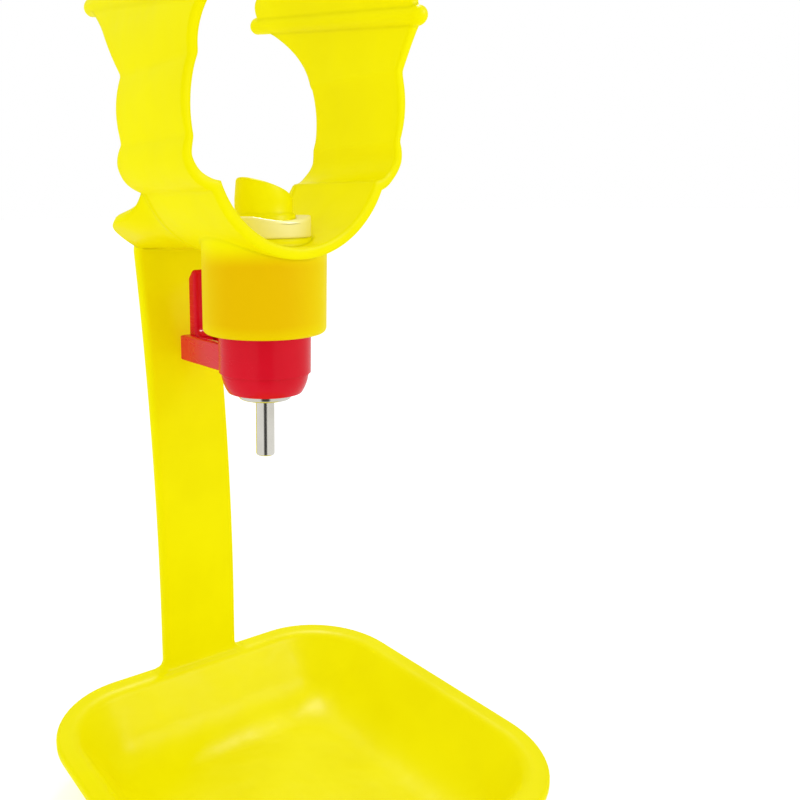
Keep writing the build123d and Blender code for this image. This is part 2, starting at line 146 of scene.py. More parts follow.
@dataclass(frozen=True)
class NodeSheet:
    """A node tree with short calls that add its nodes.

    What feeds an input socket is either a value or the output socket of another node.

    Attributes:
        tree: the node tree.
    """

    tree: bpy.types.NodeTree

    def feed(self, node: bpy.types.Node, feeds: Feeds) -> None:
        """Set or link a node's input sockets.

        Args:
            node: the node.
            feeds: what feeds each socket, by its name or number.
        """
        for socket, source in feeds.items():
            if isinstance(source, bpy.types.NodeSocket):
                self.tree.links.new(source, node.inputs[socket])
            else:
                node.inputs[socket].default_value = source

    def add(self, kind: str, feeds: Feeds | None = None, **settings: object) -> bpy.types.Node:
        """Add a node.

        Args:
            kind: the node's type, without the word that all shader nodes start with.
            feeds: what feeds its input sockets.
            settings: the node's own settings.

        Returns:
            The node.
        """
        node = self.tree.nodes.new("ShaderNode" + kind)
        for name, setting in settings.items():
            setattr(node, name, setting)
        self.feed(node, feeds or {})
        return node

    def place(self) -> bpy.types.NodeSocket:
        """Place on the piece, in metres from the origin."""
        return self.add("TexCoord").outputs["Object"]

    def math(self, step: str, *sources: object, **settings: object) -> bpy.types.NodeSocket:
        """Result of one step on numbers."""
        node = self.add("Math", dict(enumerate(sources)), operation=step, **settings)
        return node.outputs["Value"]

    def vector(self, step: str, *sources: object) -> bpy.types.NodeSocket:
        """Result of one step on vectors, which is a number for a length or a dot product."""
        node = self.add("VectorMath", dict(enumerate(sources)), operation=step)
        return node.outputs["Value" if step in ("LENGTH", "DOT_PRODUCT") else "Vector"]

    def ranged(
        self, value: bpy.types.NodeSocket, span: tuple[object, object] = (0.0, 1.0),
        result: Pair = (0.0, 1.0), **settings: object,
    ) -> bpy.types.NodeSocket:
        """A number carried from one span to another, and held at its ends.

        Args:
            value: the number.
            span: its values that give the result's ends.
            result: the result's ends.
            settings: the node's own settings.

        Returns:
            The result.
        """
        feeds = {
            "Value": value, "From Min": span[0], "From Max": span[1],
            "To Min": result[0], "To Max": result[1],
        }
        return self.add("MapRange", feeds, **settings).outputs["Result"]

    def noise(self, place: bpy.types.NodeSocket, **feeds: object) -> bpy.types.NodeSocket:
        """Noise from 0 to 1 at a place."""
        return self.add("TexNoise", {"Vector": place, **feeds}).outputs["Fac"]

    def mixed(self, mask: object, first: object, second: object) -> bpy.types.NodeSocket:
        """The first colour where the mask is 0, and the second where it is 1."""
        return self.add("Mix", {0: mask, 6: first, 7: second}, data_type="RGBA").outputs[2]

    def ramp(
        self, value: bpy.types.NodeSocket, span: Pair, colours: tuple[Colour, Colour]
    ) -> bpy.types.NodeSocket:
        """Colour that goes from one to another as a number crosses a span.

        Args:
            value: the number.
            span: where the change starts and ends.
            colours: the two display colours.

        Returns:
            The colour.
        """
        node = self.add("ValToRGB", {"Fac": value})
        for stop, where, colour in zip(node.color_ramp.elements, span, colours):
            stop.position = where
            stop.color = linear(colour)
        return node.outputs["Color"]

    def group(
        self, tree: bpy.types.NodeTree, feeds: Feeds | None = None
    ) -> bpy.types.bpy_prop_collection:
        """Outputs of a shared effect placed on the sheet."""
        return self.add("Group", feeds, node_tree=tree).outputs


def linear(colour: Colour) -> tuple[float, float, float, float]:
    """Linear colour of a display colour.

    A share above a small limit is raised by 2.4 after an offset, and a lower one is divided.

    Args:
        colour: red, green and blue from 0 to 255.

    Returns:
        Linear red, green, blue and an alpha of 1.
    """
    share = np.asarray(colour, float) / 255.0
    value = np.where(share <= 0.04045, share / 12.92, ((share + 0.055) / 1.055) ** 2.4)
    return (*[float(v) for v in value], 1.0)


# Studio


@dataclass(frozen=True)
class SoftLight:
    """One rectangular soft light.

    Attributes:
        name: the light's name.
        place: its middle.
        sides: its width and height.
        watts: its power.
        target: the point that it faces.
        only_gloss: whether it shows in reflections alone.
        in_gloss: whether it shows in reflections at all.
    """

    name: str
    place: Triple
    sides: Pair
    watts: float
    target: Triple = (0.0, 0.0, -0.05)
    only_gloss: bool = False
    in_gloss: bool = True

    def build(self) -> bpy.types.Object:
        """Create the light, facing its target.

        Returns:
            The light's object.
        """
        data = bpy.data.lights.new(self.name, "AREA")
        data.shape = "RECTANGLE"
        data.size, data.size_y = self.sides
        data.energy = self.watts
        lamp = bpy.data.objects.new(self.name, data)
        lamp.location = self.place
        direction = Vector(self.target) - Vector(self.place)
        lamp.rotation_euler = direction.to_track_quat("-Z", "Y").to_euler()
        lamp.visible_diffuse = not self.only_gloss
        lamp.visible_glossy = self.in_gloss
        bpy.context.scene.collection.objects.link(lamp)
        return lamp


@dataclass(frozen=True)
class Studio:
    """White floor, white surroundings and soft lights.

    The surroundings are a little brighter overhead. In reflections they have a dark band where
    the photographer stands, which gives steel its dark line. The band ends well below the level.

    Attributes:
        floor_half: half the floor's side.
        floor_colour: how much light the floor returns.
        floor_glow: its own light, as the drinker sees it and as the camera does.
        floor_roughness: how dull the floor is.
        strength: strength of the surroundings as light, below and overhead.
        strength_span: heights of the unit direction between which it changes.
        gloss_strength: strength of the surroundings in reflections.
        band_azimuth_deg: direction of the dark band.
        band_half_deg: half the band's width.
        band_edge_deg: width of its soft edge.
        band_strength: strength inside the band.
        band_foot: heights of the unit direction between which the band fades in.
        lights: the soft lights.
    """

    floor_half: float = 6.0
    floor_colour: float = 0.8
    floor_glow: Pair = (0.22, 0.4)
    floor_roughness: float = 0.9
    strength: Pair = (0.85, 0.98)
    strength_span: Pair = (-0.6, 0.8)
    gloss_strength: float = 0.9
    band_azimuth_deg: float = -31.5
    band_half_deg: float = 15.0
    band_edge_deg: float = 7.0
    band_strength: float = 0.06
    band_foot: Pair = (-0.8, -0.5)
    lights: tuple[SoftLight, ...] = (
        SoftLight(
            "wall_glint", (0.21, -0.29, 0.19), (0.13, 0.03), 4.5, (0.0, 0.015, -0.098),
            only_gloss=True,
        ),
        SoftLight(
            "corner_glint", (0.16, 0.17, 0.42), (0.05, 0.05), 11.0, (0.02, 0.012, -0.1),
            only_gloss=True,
        ),
        SoftLight(
            "strap_fill", (-0.42, -0.20, -0.02), (0.25, 0.25), 0.05, (0.0, 0.02, -0.04),
            in_gloss=False,
        ),
        SoftLight("key_light", (0.30, -0.50, 0.10), (0.4, 0.4), 0.12, in_gloss=False),
    )

    def floor(self) -> bpy.types.Object:
        """Create the floor under the drinker's lowest point.

        Returns:
            The floor's object.
        """
        half = self.floor_half
        low = CAD_BOX[0][2]
        corners = [(-half, -half, low), (half, -half, low), (half, half, low), (-half, half, low)]
        mesh = bpy.data.meshes.new("floor")
        mesh.from_pydata(corners, [], [(0, 1, 2, 3)])
        plane = bpy.data.objects.new("floor", mesh)
        bpy.context.scene.collection.objects.link(plane)
        material = bpy.data.materials.new("floor_paper")
        material.use_nodes = True
        sheet = NodeSheet(material.node_tree)
        seen = sheet.add("LightPath").outputs["Is Camera Ray"]
        sheet.feed(material.node_tree.nodes["Principled BSDF"], {
            "Base Color": (*[self.floor_colour] * 3, 1.0),
            "Roughness": self.floor_roughness,
            "Emission Color": WHITE,
            "Emission Strength": sheet.ranged(seen, result=self.floor_glow),
        })
        mesh.materials.append(material)
        plane.visible_glossy = False
        return plane

    def band(
        self, sheet: NodeSheet, way: bpy.types.NodeSocket, height: bpy.types.NodeSocket
    ) -> bpy.types.NodeSocket:
        """Mask of the dark band, from the angle round the upright axis and from the height.

        Args:
            sheet: the world's node sheet.
            way: the direction looked in.
            height: its height.

        Returns:
            The mask.
        """
        azimuth = math.radians(self.band_azimuth_deg)
        outer = math.cos(math.radians(self.band_half_deg + self.band_edge_deg))
        inner = math.cos(math.radians(self.band_half_deg))
        level = sheet.vector("NORMALIZE", sheet.vector("MULTIPLY", way, LEVEL))
        toward = (math.sin(azimuth), -math.cos(azimuth), 0.0)
        across = sheet.ranged(sheet.vector("DOT_PRODUCT", level, toward), (outer, inner))
        return sheet.math("MULTIPLY", across, sheet.ranged(height, self.band_foot))

    def surroundings(self) -> bpy.types.World:
        """Create the surroundings: white to look at, soft as light, banded in reflections.

        Returns:
            The world.
        """
        world = bpy.data.worlds.new("studio")
        world.use_nodes = True
        sheet = NodeSheet(world.node_tree)
        way = sheet.add("TexCoord").outputs["Generated"]
        height = sheet.add("SeparateXYZ", {"Vector": way}).outputs["Z"]
        soft = sheet.ranged(height, self.strength_span, self.strength)
        depth = (self.gloss_strength, self.band_strength)
        gloss = sheet.ranged(self.band(sheet, way, height), result=depth)
        path = sheet.add("LightPath").outputs
        shown = sheet.tree.nodes["Background"]
        sheet.feed(shown, {"Color": WHITE, "Strength": soft})
        for mask, strength in (("Is Glossy Ray", gloss), ("Is Camera Ray", 1.0)):
            other = sheet.add("Background", {"Color": WHITE, "Strength": strength})
            shown = sheet.add(
                "MixShader", {0: path[mask], 1: shown.outputs[0], 2: other.outputs[0]}
            )
        sheet.feed(sheet.tree.nodes["World Output"], {"Surface": shown.outputs[0]})
        return world

    def build(self) -> None:
        """Create the floor, the surroundings and the lights."""
        scene = bpy.context.scene
        scene.world = self.surroundings()
        scene.view_settings.view_transform = "Standard"
        self.floor()
        for light in self.lights:
            light.build()
        LOG.info("the studio has a floor and %d lights", len(self.lights))


# Shared effects


@dataclass(frozen=True)
class EffectGroup:
    """A shader node group with named inputs and outputs.

    Attributes:
        name: the group's name.
        inputs: its input numbers and their usual values.
        outputs: its outputs and their socket types.
    """

    name: str
    inputs: dict[str, float]
    outputs: dict[str, str]

    def start(self) -> tuple[NodeSheet, bpy.types.bpy_prop_collection, bpy.types.Node]:
        """Create the group with its sockets.

        Returns:
            The group's node sheet, its inputs as outputs of a node, and its output node.
        """
        tree = bpy.data.node_groups.new(self.name, "ShaderNodeTree")
        for name, value in self.inputs.items():
            socket = tree.interface.new_socket(name, in_out="INPUT", socket_type="NodeSocketFloat")
            socket.default_value = value
        for name, kind in self.outputs.items():
            tree.interface.new_socket(name, in_out="OUTPUT", socket_type=kind)
        enter = tree.nodes.new("NodeGroupInput").outputs
        return NodeSheet(tree), enter, tree.nodes.new("NodeGroupOutput")


@dataclass(frozen=True)
class MouldGrain:
    """Unevenness of a moulded surface: broad noise plus a share of fine noise.

    Attributes:
        fine_scale: fine bumps for each metre.
        broad_scale: broad swells for each metre.
        fine_share: share of the fine noise in the height.
    """

    fine_scale: float = 2600.0
    broad_scale: float = 70.0
    fine_share: float = 0.2

    def build(self) -> bpy.types.NodeTree:
        """Create the group.

        Returns:
            The group's node tree, which puts out Height, and the broad noise alone as Drift.
        """
        sheet, enter, leave = EffectGroup(
            "mould_grain", {"Fine Scale": self.fine_scale, "Broad Scale": self.broad_scale},
            {"Height": "NodeSocketFloat", "Drift": "NodeSocketFloat"},
        ).start()
        place = sheet.place()
        fine = sheet.noise(place, Scale=enter["Fine Scale"], Detail=2.0)
        broad = sheet.noise(place, Scale=enter["Broad Scale"], Detail=3.0, Roughness=0.55)
        height = sheet.math("MULTIPLY_ADD", fine, self.fine_share, broad)
        sheet.feed(leave, {"Height": height, "Drift": broad})
        return sheet.tree


@dataclass(frozen=True)
class SoftSeams:
    """Rounded edges and seams: the surface's normal averaged over a small reach.

    The edge mask grows with the angle between that normal and the plain one.

    Attributes:
        reach: usual reach, in metres.
        samples: rays for each average.
        match_span: cosines of the angle where the mask is 0 and 1.
    """

    reach: float = 0.0004
    samples: int = 6
    match_span: Pair = (0.995, 0.80)

    def build(self) -> bpy.types.NodeTree:
        """Create the group.

        Returns:
            The group's node tree, which puts out Normal and Edge.
        """
        sheet, enter, leave = EffectGroup(
            "soft_edge", {"Reach": self.reach},
            {"Normal": "NodeSocketVector", "Edge": "NodeSocketFloat"},
        ).start()
        rounded = sheet.add("Bevel", {"Radius": enter["Reach"]}, samples=self.samples)
        plain = sheet.add("NewGeometry").outputs["Normal"]
        match = sheet.vector("DOT_PRODUCT", rounded.outputs["Normal"], plain)
        edge = sheet.ranged(match, self.match_span)
        sheet.feed(leave, {"Normal": rounded.outputs["Normal"], "Edge": edge})
        return sheet.tree


@dataclass(frozen=True)
class HandlingMarks:
    """Thin scratches in patches, where a stretched, turned noise crosses its middle value.

    Attributes:
        scale: usual number of scratches for each metre.
        width: usual width of a scratch, as a share of the noise.
        turn: turn of the scratches.
        stretch: scale along each of the turned axes.
        patch_scale: patches for each metre.
        patch_span: values of the patch noise between which the scratches appear.
    """

    scale: float = 700.0
    width: float = 0.010
    turn: Triple = (0.5, 0.9, 0.3)
    stretch: Triple = (1.0, 0.04, 1.0)
    patch_scale: float = 45.0
    patch_span: Pair = (0.56, 0.66)

    def build(self) -> bpy.types.NodeTree:
        """Create the group.

        Returns:
            The group's node tree, which puts out Scratch.
        """
        sheet, enter, leave = EffectGroup(
            "handling_marks", {"Scale": self.scale, "Width": self.width},
            {"Scratch": "NodeSocketFloat"},
        ).start()
        place = sheet.place()
        turned_place = sheet.add(
            "Mapping", {"Vector": place, "Rotation": self.turn, "Scale": self.stretch}
        ).outputs["Vector"]
        noise = sheet.noise(turned_place, Scale=enter["Scale"], Detail=1.0)
        apart = sheet.math("ABSOLUTE", sheet.math("SUBTRACT", noise, 0.5))
        line = sheet.ranged(apart, (0.0, enter["Width"]), (1.0, 0.0))
        patch = sheet.ranged(sheet.noise(place, Scale=self.patch_scale), self.patch_span)
        sheet.feed(leave, {"Scratch": sheet.math("MULTIPLY", line, patch)})
        return sheet.tree


@dataclass(frozen=True)
class CollarTintAndShade:
    """Mask of the collar, where the red shank shows through the wall.

    It fades over a short way outside the radius and above the top, a little towards the collar's
    mouth, and round the axis away from one side, where the painted shade is deepest.

    Attributes:
        radius: distance from the nipple's axis where it ends.
        top: height where it is half.
        side_fade: half the way over which it ends outside the radius.
        top_fade: half the way over which it fades at the top.
        low_span: heights between which it starts.
        mouth_span: heights between which it reaches its full strength.
        mouth_share: its share at the mouth.
        shade_side: direction where the painted shade is deepest.
        shade_span: cosines of the angle from that side between which it grows.
        shade_share: its shares there.
    """

    radius: float = 0.0090
    top: float = -0.0205
    side_fade: float = 0.0002
    top_fade: float = 0.0018
    low_span: Pair = (-0.0400, -0.0398)
    mouth_span: Pair = (-0.0314, -0.0295)
    mouth_share: float = 0.6
    shade_side: Triple = (-0.66, -0.75, 0.0)
    shade_span: Pair = (0.2, 0.95)
    shade_share: Pair = (0.45, 1.05)

    def build(self) -> bpy.types.NodeTree:
        """Create the group.

        Returns:
            The group's node tree, which puts out Mask.
        """
        sheet, enter, leave = EffectGroup(
            "collar_tint_and_shade", {"Radius": self.radius, "Top": self.top}, {"Mask": "NodeSocketFloat"},
        ).start()
        place = sheet.place()
        height = sheet.add("SeparateXYZ", {"Vector": place}).outputs["Z"]
        level = sheet.vector("MULTIPLY", place, LEVEL)
        inside = sheet.math("SUBTRACT", enter["Radius"], sheet.vector("LENGTH", level))
        under = sheet.math("SUBTRACT", enter["Top"], height)
        side = sheet.vector("DOT_PRODUCT", sheet.vector("NORMALIZE", level), self.shade_side)
        # Painted shade: strongest towards one side round the axis, fading away from it.
        masks = (
            sheet.ranged(under, (-self.top_fade, self.top_fade), interpolation_type="SMOOTHSTEP"),
            sheet.ranged(height, self.low_span),
            sheet.ranged(height, self.mouth_span, (self.mouth_share, 1.0)),
            sheet.ranged(side, self.shade_span, self.shade_share),
        )
        total = sheet.ranged(inside, (-self.side_fade, self.side_fade))
        for mask in masks:
            total = sheet.math("MULTIPLY", total, mask)
        sheet.feed(leave, {"Mask": total})
        return sheet.tree


@dataclass(frozen=True)
class Effects:
    """The shared node groups.

    Attributes:
        grain: fine unevenness of a moulded surface.
        soft_edge: rounded edges and seams.
        handling: thin scratches.
        collar_tint_and_shade: mask of the collar's shank tint and painted shade.
    """

    grain: bpy.types.NodeTree
    soft_edge: bpy.types.NodeTree
    handling: bpy.types.NodeTree
    collar_tint_and_shade: bpy.types.NodeTree

    @classmethod
    def build(cls) -> "Effects":
        """Create every shared group once."""
        kinds = (MouldGrain(), SoftSeams(), HandlingMarks(), CollarTintAndShade())
        return cls(*(kind.build() for kind in kinds))


# Finishes


def new_finish(name: str) -> tuple[bpy.types.Material, NodeSheet, bpy.types.Node]:
    """Create an empty finish.

    Args:
        name: the material's name.

    Returns:
        The material, its node sheet and its shader.
    """
    material = bpy.data.materials.new(name)
    material.use_nodes = True
    return material, NodeSheet(material.node_tree), material.node_tree.nodes["Principled BSDF"]


@dataclass(frozen=True)
class MouldedPlastic:
    """Moulded plastic: a slowly drifting colour, a painted edge highlight, thin scratches and a
    soft gloss.

    Attributes:
        name: the material's name.
        colour: main display colour.
        deep_colour: display colour where the drift is lowest.
        edge_highlight_colour: display colour of the painted highlight on edges and seams.
        collar_tint_and_shade_colour: display colour of the collar, or none.
        roughness: lowest and highest roughness.
        wave: depth of the broad unevenness, in metres.
        specular: strength of the surface's reflection.
        bump: depth of the uneven surface, in metres.
        edge_reach: reach of the rounded edges, in metres.
        edge_highlight_share: how far the edges and seams take the painted highlight colour.
        colour_span: drift between which the colour changes.
        gloss_span: drift between which the roughness changes.
        scratch_roughness: roughness that a scratch adds.
        scratch_depth: depth of a scratch, as a share of the bump.
    """

    name: str
    colour: Colour
    deep_colour: Colour
    edge_highlight_colour: Colour
    collar_tint_and_shade_colour: Colour | None = None
    roughness: Pair = (0.3, 0.4)
    wave: float = 0.00002
    specular: float = 0.5
    bump: float = 0.00001
    edge_reach: float = 0.0004
    edge_highlight_share: float = 0.35
    colour_span: Pair = (0.35, 0.62)
    gloss_span: Pair = (0.3, 0.7)
    scratch_roughness: float = 0.10
    scratch_depth: float = 0.1

    def build(self, effects: Effects) -> bpy.types.Material:
        """Create the material.

        Args:
            effects: the shared node groups.

        Returns:
            The material.
        """
        material, sheet, shader = new_finish(self.name)
        grain = sheet.group(effects.grain)
        edges = sheet.group(effects.soft_edge, {"Reach": self.edge_reach})
        scratch = sheet.group(effects.handling)["Scratch"]
        body = sheet.ramp(grain["Drift"], self.colour_span, (self.deep_colour, self.colour))
        if self.collar_tint_and_shade_colour is not None:
            # The collar's colour is partly the red shank showing through and partly painted shade.
            mask = sheet.group(effects.collar_tint_and_shade)["Mask"]
            body = sheet.mixed(mask, body, linear(self.collar_tint_and_shade_colour))
        # Painted highlight: edges and seams are mixed towards a paler colour.
        edge = sheet.math("MULTIPLY", edges["Edge"], self.edge_highlight_share)
        gloss = sheet.ranged(grain["Drift"], self.gloss_span, self.roughness)
        height = sheet.math("MULTIPLY_ADD", scratch, -self.scratch_depth, grain["Height"])
        swell = sheet.add("Bump", {
            "Distance": self.wave, "Height": grain["Drift"], "Normal": edges["Normal"],
        }).outputs["Normal"]
        bump = sheet.add("Bump", {"Distance": self.bump, "Height": height, "Normal": swell})
        sheet.feed(shader, {
            "Base Color": sheet.mixed(edge, body, linear(self.edge_highlight_colour)),
            "Roughness": sheet.math(
                "MULTIPLY_ADD", scratch, self.scratch_roughness, gloss, use_clamp=True
            ),
            "Normal": bump.outputs["Normal"],
            "Specular IOR Level": self.specular,
        })
        return material


@dataclass(frozen=True)
class TurnedSteel:
    """Turned and polished stainless steel: fine rings round the upright axis, and thin scratches.

    Attributes:
        name: the material's name.
        colour: display colour of the metal.
        stain_colour: display colour where it has dulled.
        roughness: lowest and highest roughness.
        ring_scale: turning marks for each metre across and along the height.
        bump: depth of the marks, in metres.
        edge_reach: reach of the rounded edges, in metres.
        scratch_scale: scratches for each metre.
        scratch_roughness: roughness that a scratch adds.
        colour_span: drift between which the colour changes.
    """

    name: str
    colour: Colour = (232, 230, 222)
    stain_colour: Colour = (206, 202, 190)
    roughness: Pair = (0.10, 0.22)
    ring_scale: Triple = (60.0, 60.0, 5000.0)
    bump: float = 0.000002
    edge_reach: float = 0.00015
    scratch_scale: float = 900.0
    scratch_roughness: float = 0.15
    colour_span: Pair = (0.35, 0.6)

    def build(self, effects: Effects) -> bpy.types.Material:
        """Create the material.

        Args:
            effects: the shared node groups.

        Returns:
            The material.
        """
        material, sheet, shader = new_finish(self.name)
        drift = sheet.group(effects.grain)["Drift"]
        edges = sheet.group(effects.soft_edge, {"Reach": self.edge_reach})
        scratch = sheet.group(effects.handling, {"Scale": self.scratch_scale})["Scratch"]
        stretch = sheet.add("Mapping", {"Vector": sheet.place(), "Scale": self.ring_scale})
        rings = sheet.noise(stretch.outputs["Vector"], Scale=1.0, Detail=2.0)
        gloss = sheet.ranged(rings, result=self.roughness)
        bump = sheet.add("Bump", {
            "Distance": self.bump, "Height": rings, "Normal": edges["Normal"],
        })
        sheet.feed(shader, {
            "Base Color": sheet.ramp(drift, self.colour_span, (self.stain_colour, self.colour)),
            "Metallic": 1.0,
            "Roughness": sheet.math(
                "MULTIPLY_ADD", scratch, self.scratch_roughness, gloss, use_clamp=True
            ),
            "Normal": bump.outputs["Normal"],
        })
        return material


class Slot(Enum):
    """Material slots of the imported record."""

    YELLOW = "yellow_plastic"
    RED = "red_plastic"
    STEEL = "steel"
    SEAL = "seal_rubber"
    WHITE = "white_plastic"


Finishes = dict[Slot, bpy.types.Material]


def build_finishes() -> Finishes:
    """Create every finish of the drinker.

    Returns:
        The material of each slot.
    """
    effects = Effects.build()
    # Each plastic's third colour is a painted highlight on its edges and seams.
    return {
        # The yellow's collar colour is partly the red shank showing through and partly painted
        # shade.
        Slot.YELLOW: MouldedPlastic(
            "yellow_moulding", (250, 242, 0), (246, 237, 0), (252, 244, 10), (233, 190, 0),
            roughness=(0.34, 0.46), wave=0.0005, specular=0.02, bump=0.000012,
            edge_reach=0.0007, edge_highlight_share=0.05,
        ).build(effects),
        Slot.RED: MouldedPlastic(
            "red_moulding", (222, 7, 38), (212, 5, 33), (234, 40, 54),
            roughness=(0.2, 0.3), specular=0.15, bump=0.000005, edge_reach=0.00008,
        ).build(effects),
        Slot.STEEL: TurnedSteel("polished_steel").build(effects),
        Slot.SEAL: MouldedPlastic(
            "cream_seal", (250, 241, 152), (246, 234, 132), (252, 245, 180),
            roughness=(0.35, 0.5), specular=0.35, edge_reach=0.0002,
        ).build(effects),
        Slot.WHITE: MouldedPlastic(
            "white_ring", (240, 240, 236), (230, 230, 226), (248, 248, 246),
            roughness=(0.4, 0.5), edge_reach=0.0002,
        ).build(effects),
    }


# Lines and surfaces


def unit(vector: np.ndarray) -> np.ndarray:
    """A vector shortened or stretched to length 1."""
    return vector / np.linalg.norm(vector)


def joined(*columns: np.ndarray) -> np.ndarray:
    """Points from their coordinates, each spread over the shape that they share."""
    return np.stack(np.broadcast_arrays(*columns), axis=-1)


def beside(radius: float, height: float, offsets: Rows) -> np.ndarray:
    """Points of (radius, height) that lie at offsets, outward and up, from one point."""
    return np.asarray(offsets) + (radius, height)


def rounded_line(
    corners: object, radii: tuple[float, ...], steps: int = 6, guard: float = 0.12
) -> np.ndarray:
    """Points of a line of straight runs whose corners are rounded by tangent arcs.

    Where the line turns by an angle, the arc starts and ends its radius times the tangent of half
    that angle from the corner. A guard point beside each arc keeps the runs flat when shaded. The
    first and the last corner are neighbours, so a line whose ends are rounded too is closed.

    Args:
        corners: the line's corners.
        radii: the radius at each corner, 0 for none.
        steps: spans of each arc.
        guard: distance of the guard points from an arc, 0 for none.

    Returns:
        The points, one row each.
    """
    points = np.asarray(corners, float)
    pieces = []
    for index, radius in enumerate(radii):
        here = points[index]
        if radius <= 0:
            pieces.append(here[None])
            continue
        back = unit(points[index - 1] - here)
        ahead = unit(points[(index + 1) % len(points)] - here)
        turn = np.pi - np.arccos(np.clip(back @ ahead, -1.0, 1.0))
        run = radius * np.tan(turn / 2)
        middle = here + unit(back + ahead) * radius / np.cos(turn / 2)
        start = here + back * run - middle
        end = here + ahead * run - middle
        share = np.linspace(0.0, 1.0, steps + 1)[:, None]
        arc = (np.sin((1 - share) * turn) * start + np.sin(share * turn) * end) / np.sin(turn)
        guards = [(here + way * (run + guard))[None] for way in (back, ahead) if guard > 0]
        pieces += [*guards[:1], middle + arc, *guards[1:]]
    return np.vstack(pieces)


def arc_through(start: Pair, middle: Pair, end: Pair, steps: int = 24) -> np.ndarray:
    """Points of the circle's arc through three places.

    The centre is where the lines that halve the two chords at right angles meet.

    Args:
        start: first place.
        middle: a place between.
        end: last place.
        steps: spans of the arc.

    Returns:
        The points, one row each.
    """
    a, b, c = (np.asarray(place, float) for place in (start, middle, end))
    double = 2 * (a[0] * (b[1] - c[1]) + b[0] * (c[1] - a[1]) + c[0] * (a[1] - b[1]))
    centre = np.array((
        (a @ a * (b[1] - c[1]) + b @ b * (c[1] - a[1]) + c @ c * (a[1] - b[1])) / double,
        (a @ a * (c[0] - b[0]) + b @ b * (a[0] - c[0]) + c @ c * (b[0] - a[0])) / double,
    ))
    angle_a, angle_b, angle_c = (math.atan2(*(place - centre)[::-1]) for place in (a, b, c))
    swing = (angle_c - angle_a) % math.tau
    if (angle_b - angle_a) % math.tau > swing:
        swing -= math.tau
    angle = angle_a + np.linspace(0.0, 1.0, steps + 1) * swing
    return centre + np.linalg.norm(a - centre) * joined(np.cos(angle), np.sin(angle))


def distances(points: np.ndarray) -> np.ndarray:
    """Distance of each point of a line from its start, along the line."""
    return np.concatenate(([0.0], np.cumsum(np.linalg.norm(np.diff(points, axis=0), axis=1))))


def placed(points: np.ndarray, places: np.ndarray) -> np.ndarray:
    """Points of a line at given distances from its start, by straight interpolation."""
    along = distances(points)
    return np.stack([np.interp(places, along, column) for column in points.T], axis=-1)


def evenly(points: np.ndarray, count: int) -> np.ndarray:
    """A line's points spread evenly along it."""
    return placed(points, np.linspace(0.0, distances(points)[-1], count))


def softened(points: np.ndarray, passes: int) -> np.ndarray:
    """A line whose points move, in each pass, to the mean of their neighbours and themselves.

    Args:
        points: the line's points.
        passes: number of passes.

    Returns:
        The moved points, with the first and the last kept.
    """
    for _ in range(passes):
        inner = (points[:-2] + 2 * points[1:-1] + points[2:]) / 4
        points = np.vstack((points[:1], inner, points[-1:]))
    return points


@dataclass(frozen=True)
class SoftEdge:
    """Rounding of a wall's edge, from a thin start to its full thickness.

    The outline is a superellipse. At an angle from 0 to a quarter turn, the distance from the edge
    is the reach times one less the cosine to the power two over the power, and the share of the
    thickness is the sine to that power.

    Attributes:
        reach: length of the rounding.
        power: the superellipse's power.
        steps: spans of the rounding.
        guard: distance of a further point that keeps the wall flat.
    """

    reach: float = 0.3
    power: float = 2.8
    steps: int = 5
    guard: float = 0.12

    def samples(self) -> tuple[np.ndarray, np.ndarray]:
        """Places on the rounding, from the edge inward.

        Returns:
            Distances from the edge and shares of the thickness there.
        """
        angle = np.linspace(0.0, np.pi / 2, self.steps + 1)
        cosine = np.clip(np.cos(angle), 0.0, 1.0)
        depth = self.reach * (1.0 - cosine ** (2 / self.power))
        share = np.sin(angle) ** (2 / self.power)
        return np.append(depth, self.reach + self.guard), np.append(share, 1.0)

    def across(self, lengths: np.ndarray, count: int) -> tuple[np.ndarray, np.ndarray]:
        """Places across walls of given lengths with both edges rounded.

        Args:
            lengths: the walls' lengths.
            count: number of places between the rounded edges.

        Returns:
            Distances from the first edge, one row for each wall, and shares of the thickness.
        """
        depth, share = self.samples()
        lengths = np.asarray(lengths, float)[:, None]
        low = depth[-1]
        middle = low + (lengths - 2 * low) * np.linspace(0.0, 1.0, count + 2)[1:-1]
        first = np.broadcast_to(depth, (len(lengths), len(depth)))
        places = np.hstack((first, middle, lengths - depth[::-1]))
        return places, np.concatenate((share, np.ones(count), share[::-1]))

    def towards(self, length: float, count: int) -> tuple[np.ndarray, np.ndarray]:
        """Places along one wall with only its far edge rounded.

        Args:
            length: the wall's length.
            count: number of places before the rounded edge.

        Returns:
            Distances from the near edge and shares of the thickness.
        """
        depth, share = self.samples()
        middle = np.linspace(0.0, length - depth[-1], count, endpoint=False)
        shares = np.concatenate((np.ones(count), share[::-1]))
        return np.concatenate((middle, length - depth[::-1])), shares


def wall_loops(outer: np.ndarray, inner: np.ndarray, share: np.ndarray) -> np.ndarray:
    """Closed loops round a wall: its outer face one way and its inner face back.

    Each face point lies its share of the way from the wall's middle to the full face.

    Args:
        outer: grid of points on the outer face.
        inner: grid of points on the inner face.
        share: share of the thickness, over the grid or along each of its rows.

    Returns:
        Grid of loops.
    """
    middle = (outer + inner) / 2
    half = (outer - inner) / 2 * share[..., None]
    return np.concatenate((middle + half, (middle - half)[:, ::-1]), axis=1)


def turned(profile: np.ndarray, steps: int = 128) -> np.ndarray:
    """Profile of (radius, height) turned round the axis: X is radius by cosine, Y radius by sine.

    Args:
        profile: the profile's points.
        steps: places round the axis.

    Returns:
        Grid of points.
    """
    angle = np.linspace(0.0, math.tau, steps, endpoint=False)
    radius, height = profile[:, :1], profile[:, 1:2]
    return joined(radius * np.cos(angle), radius * np.sin(angle), height)


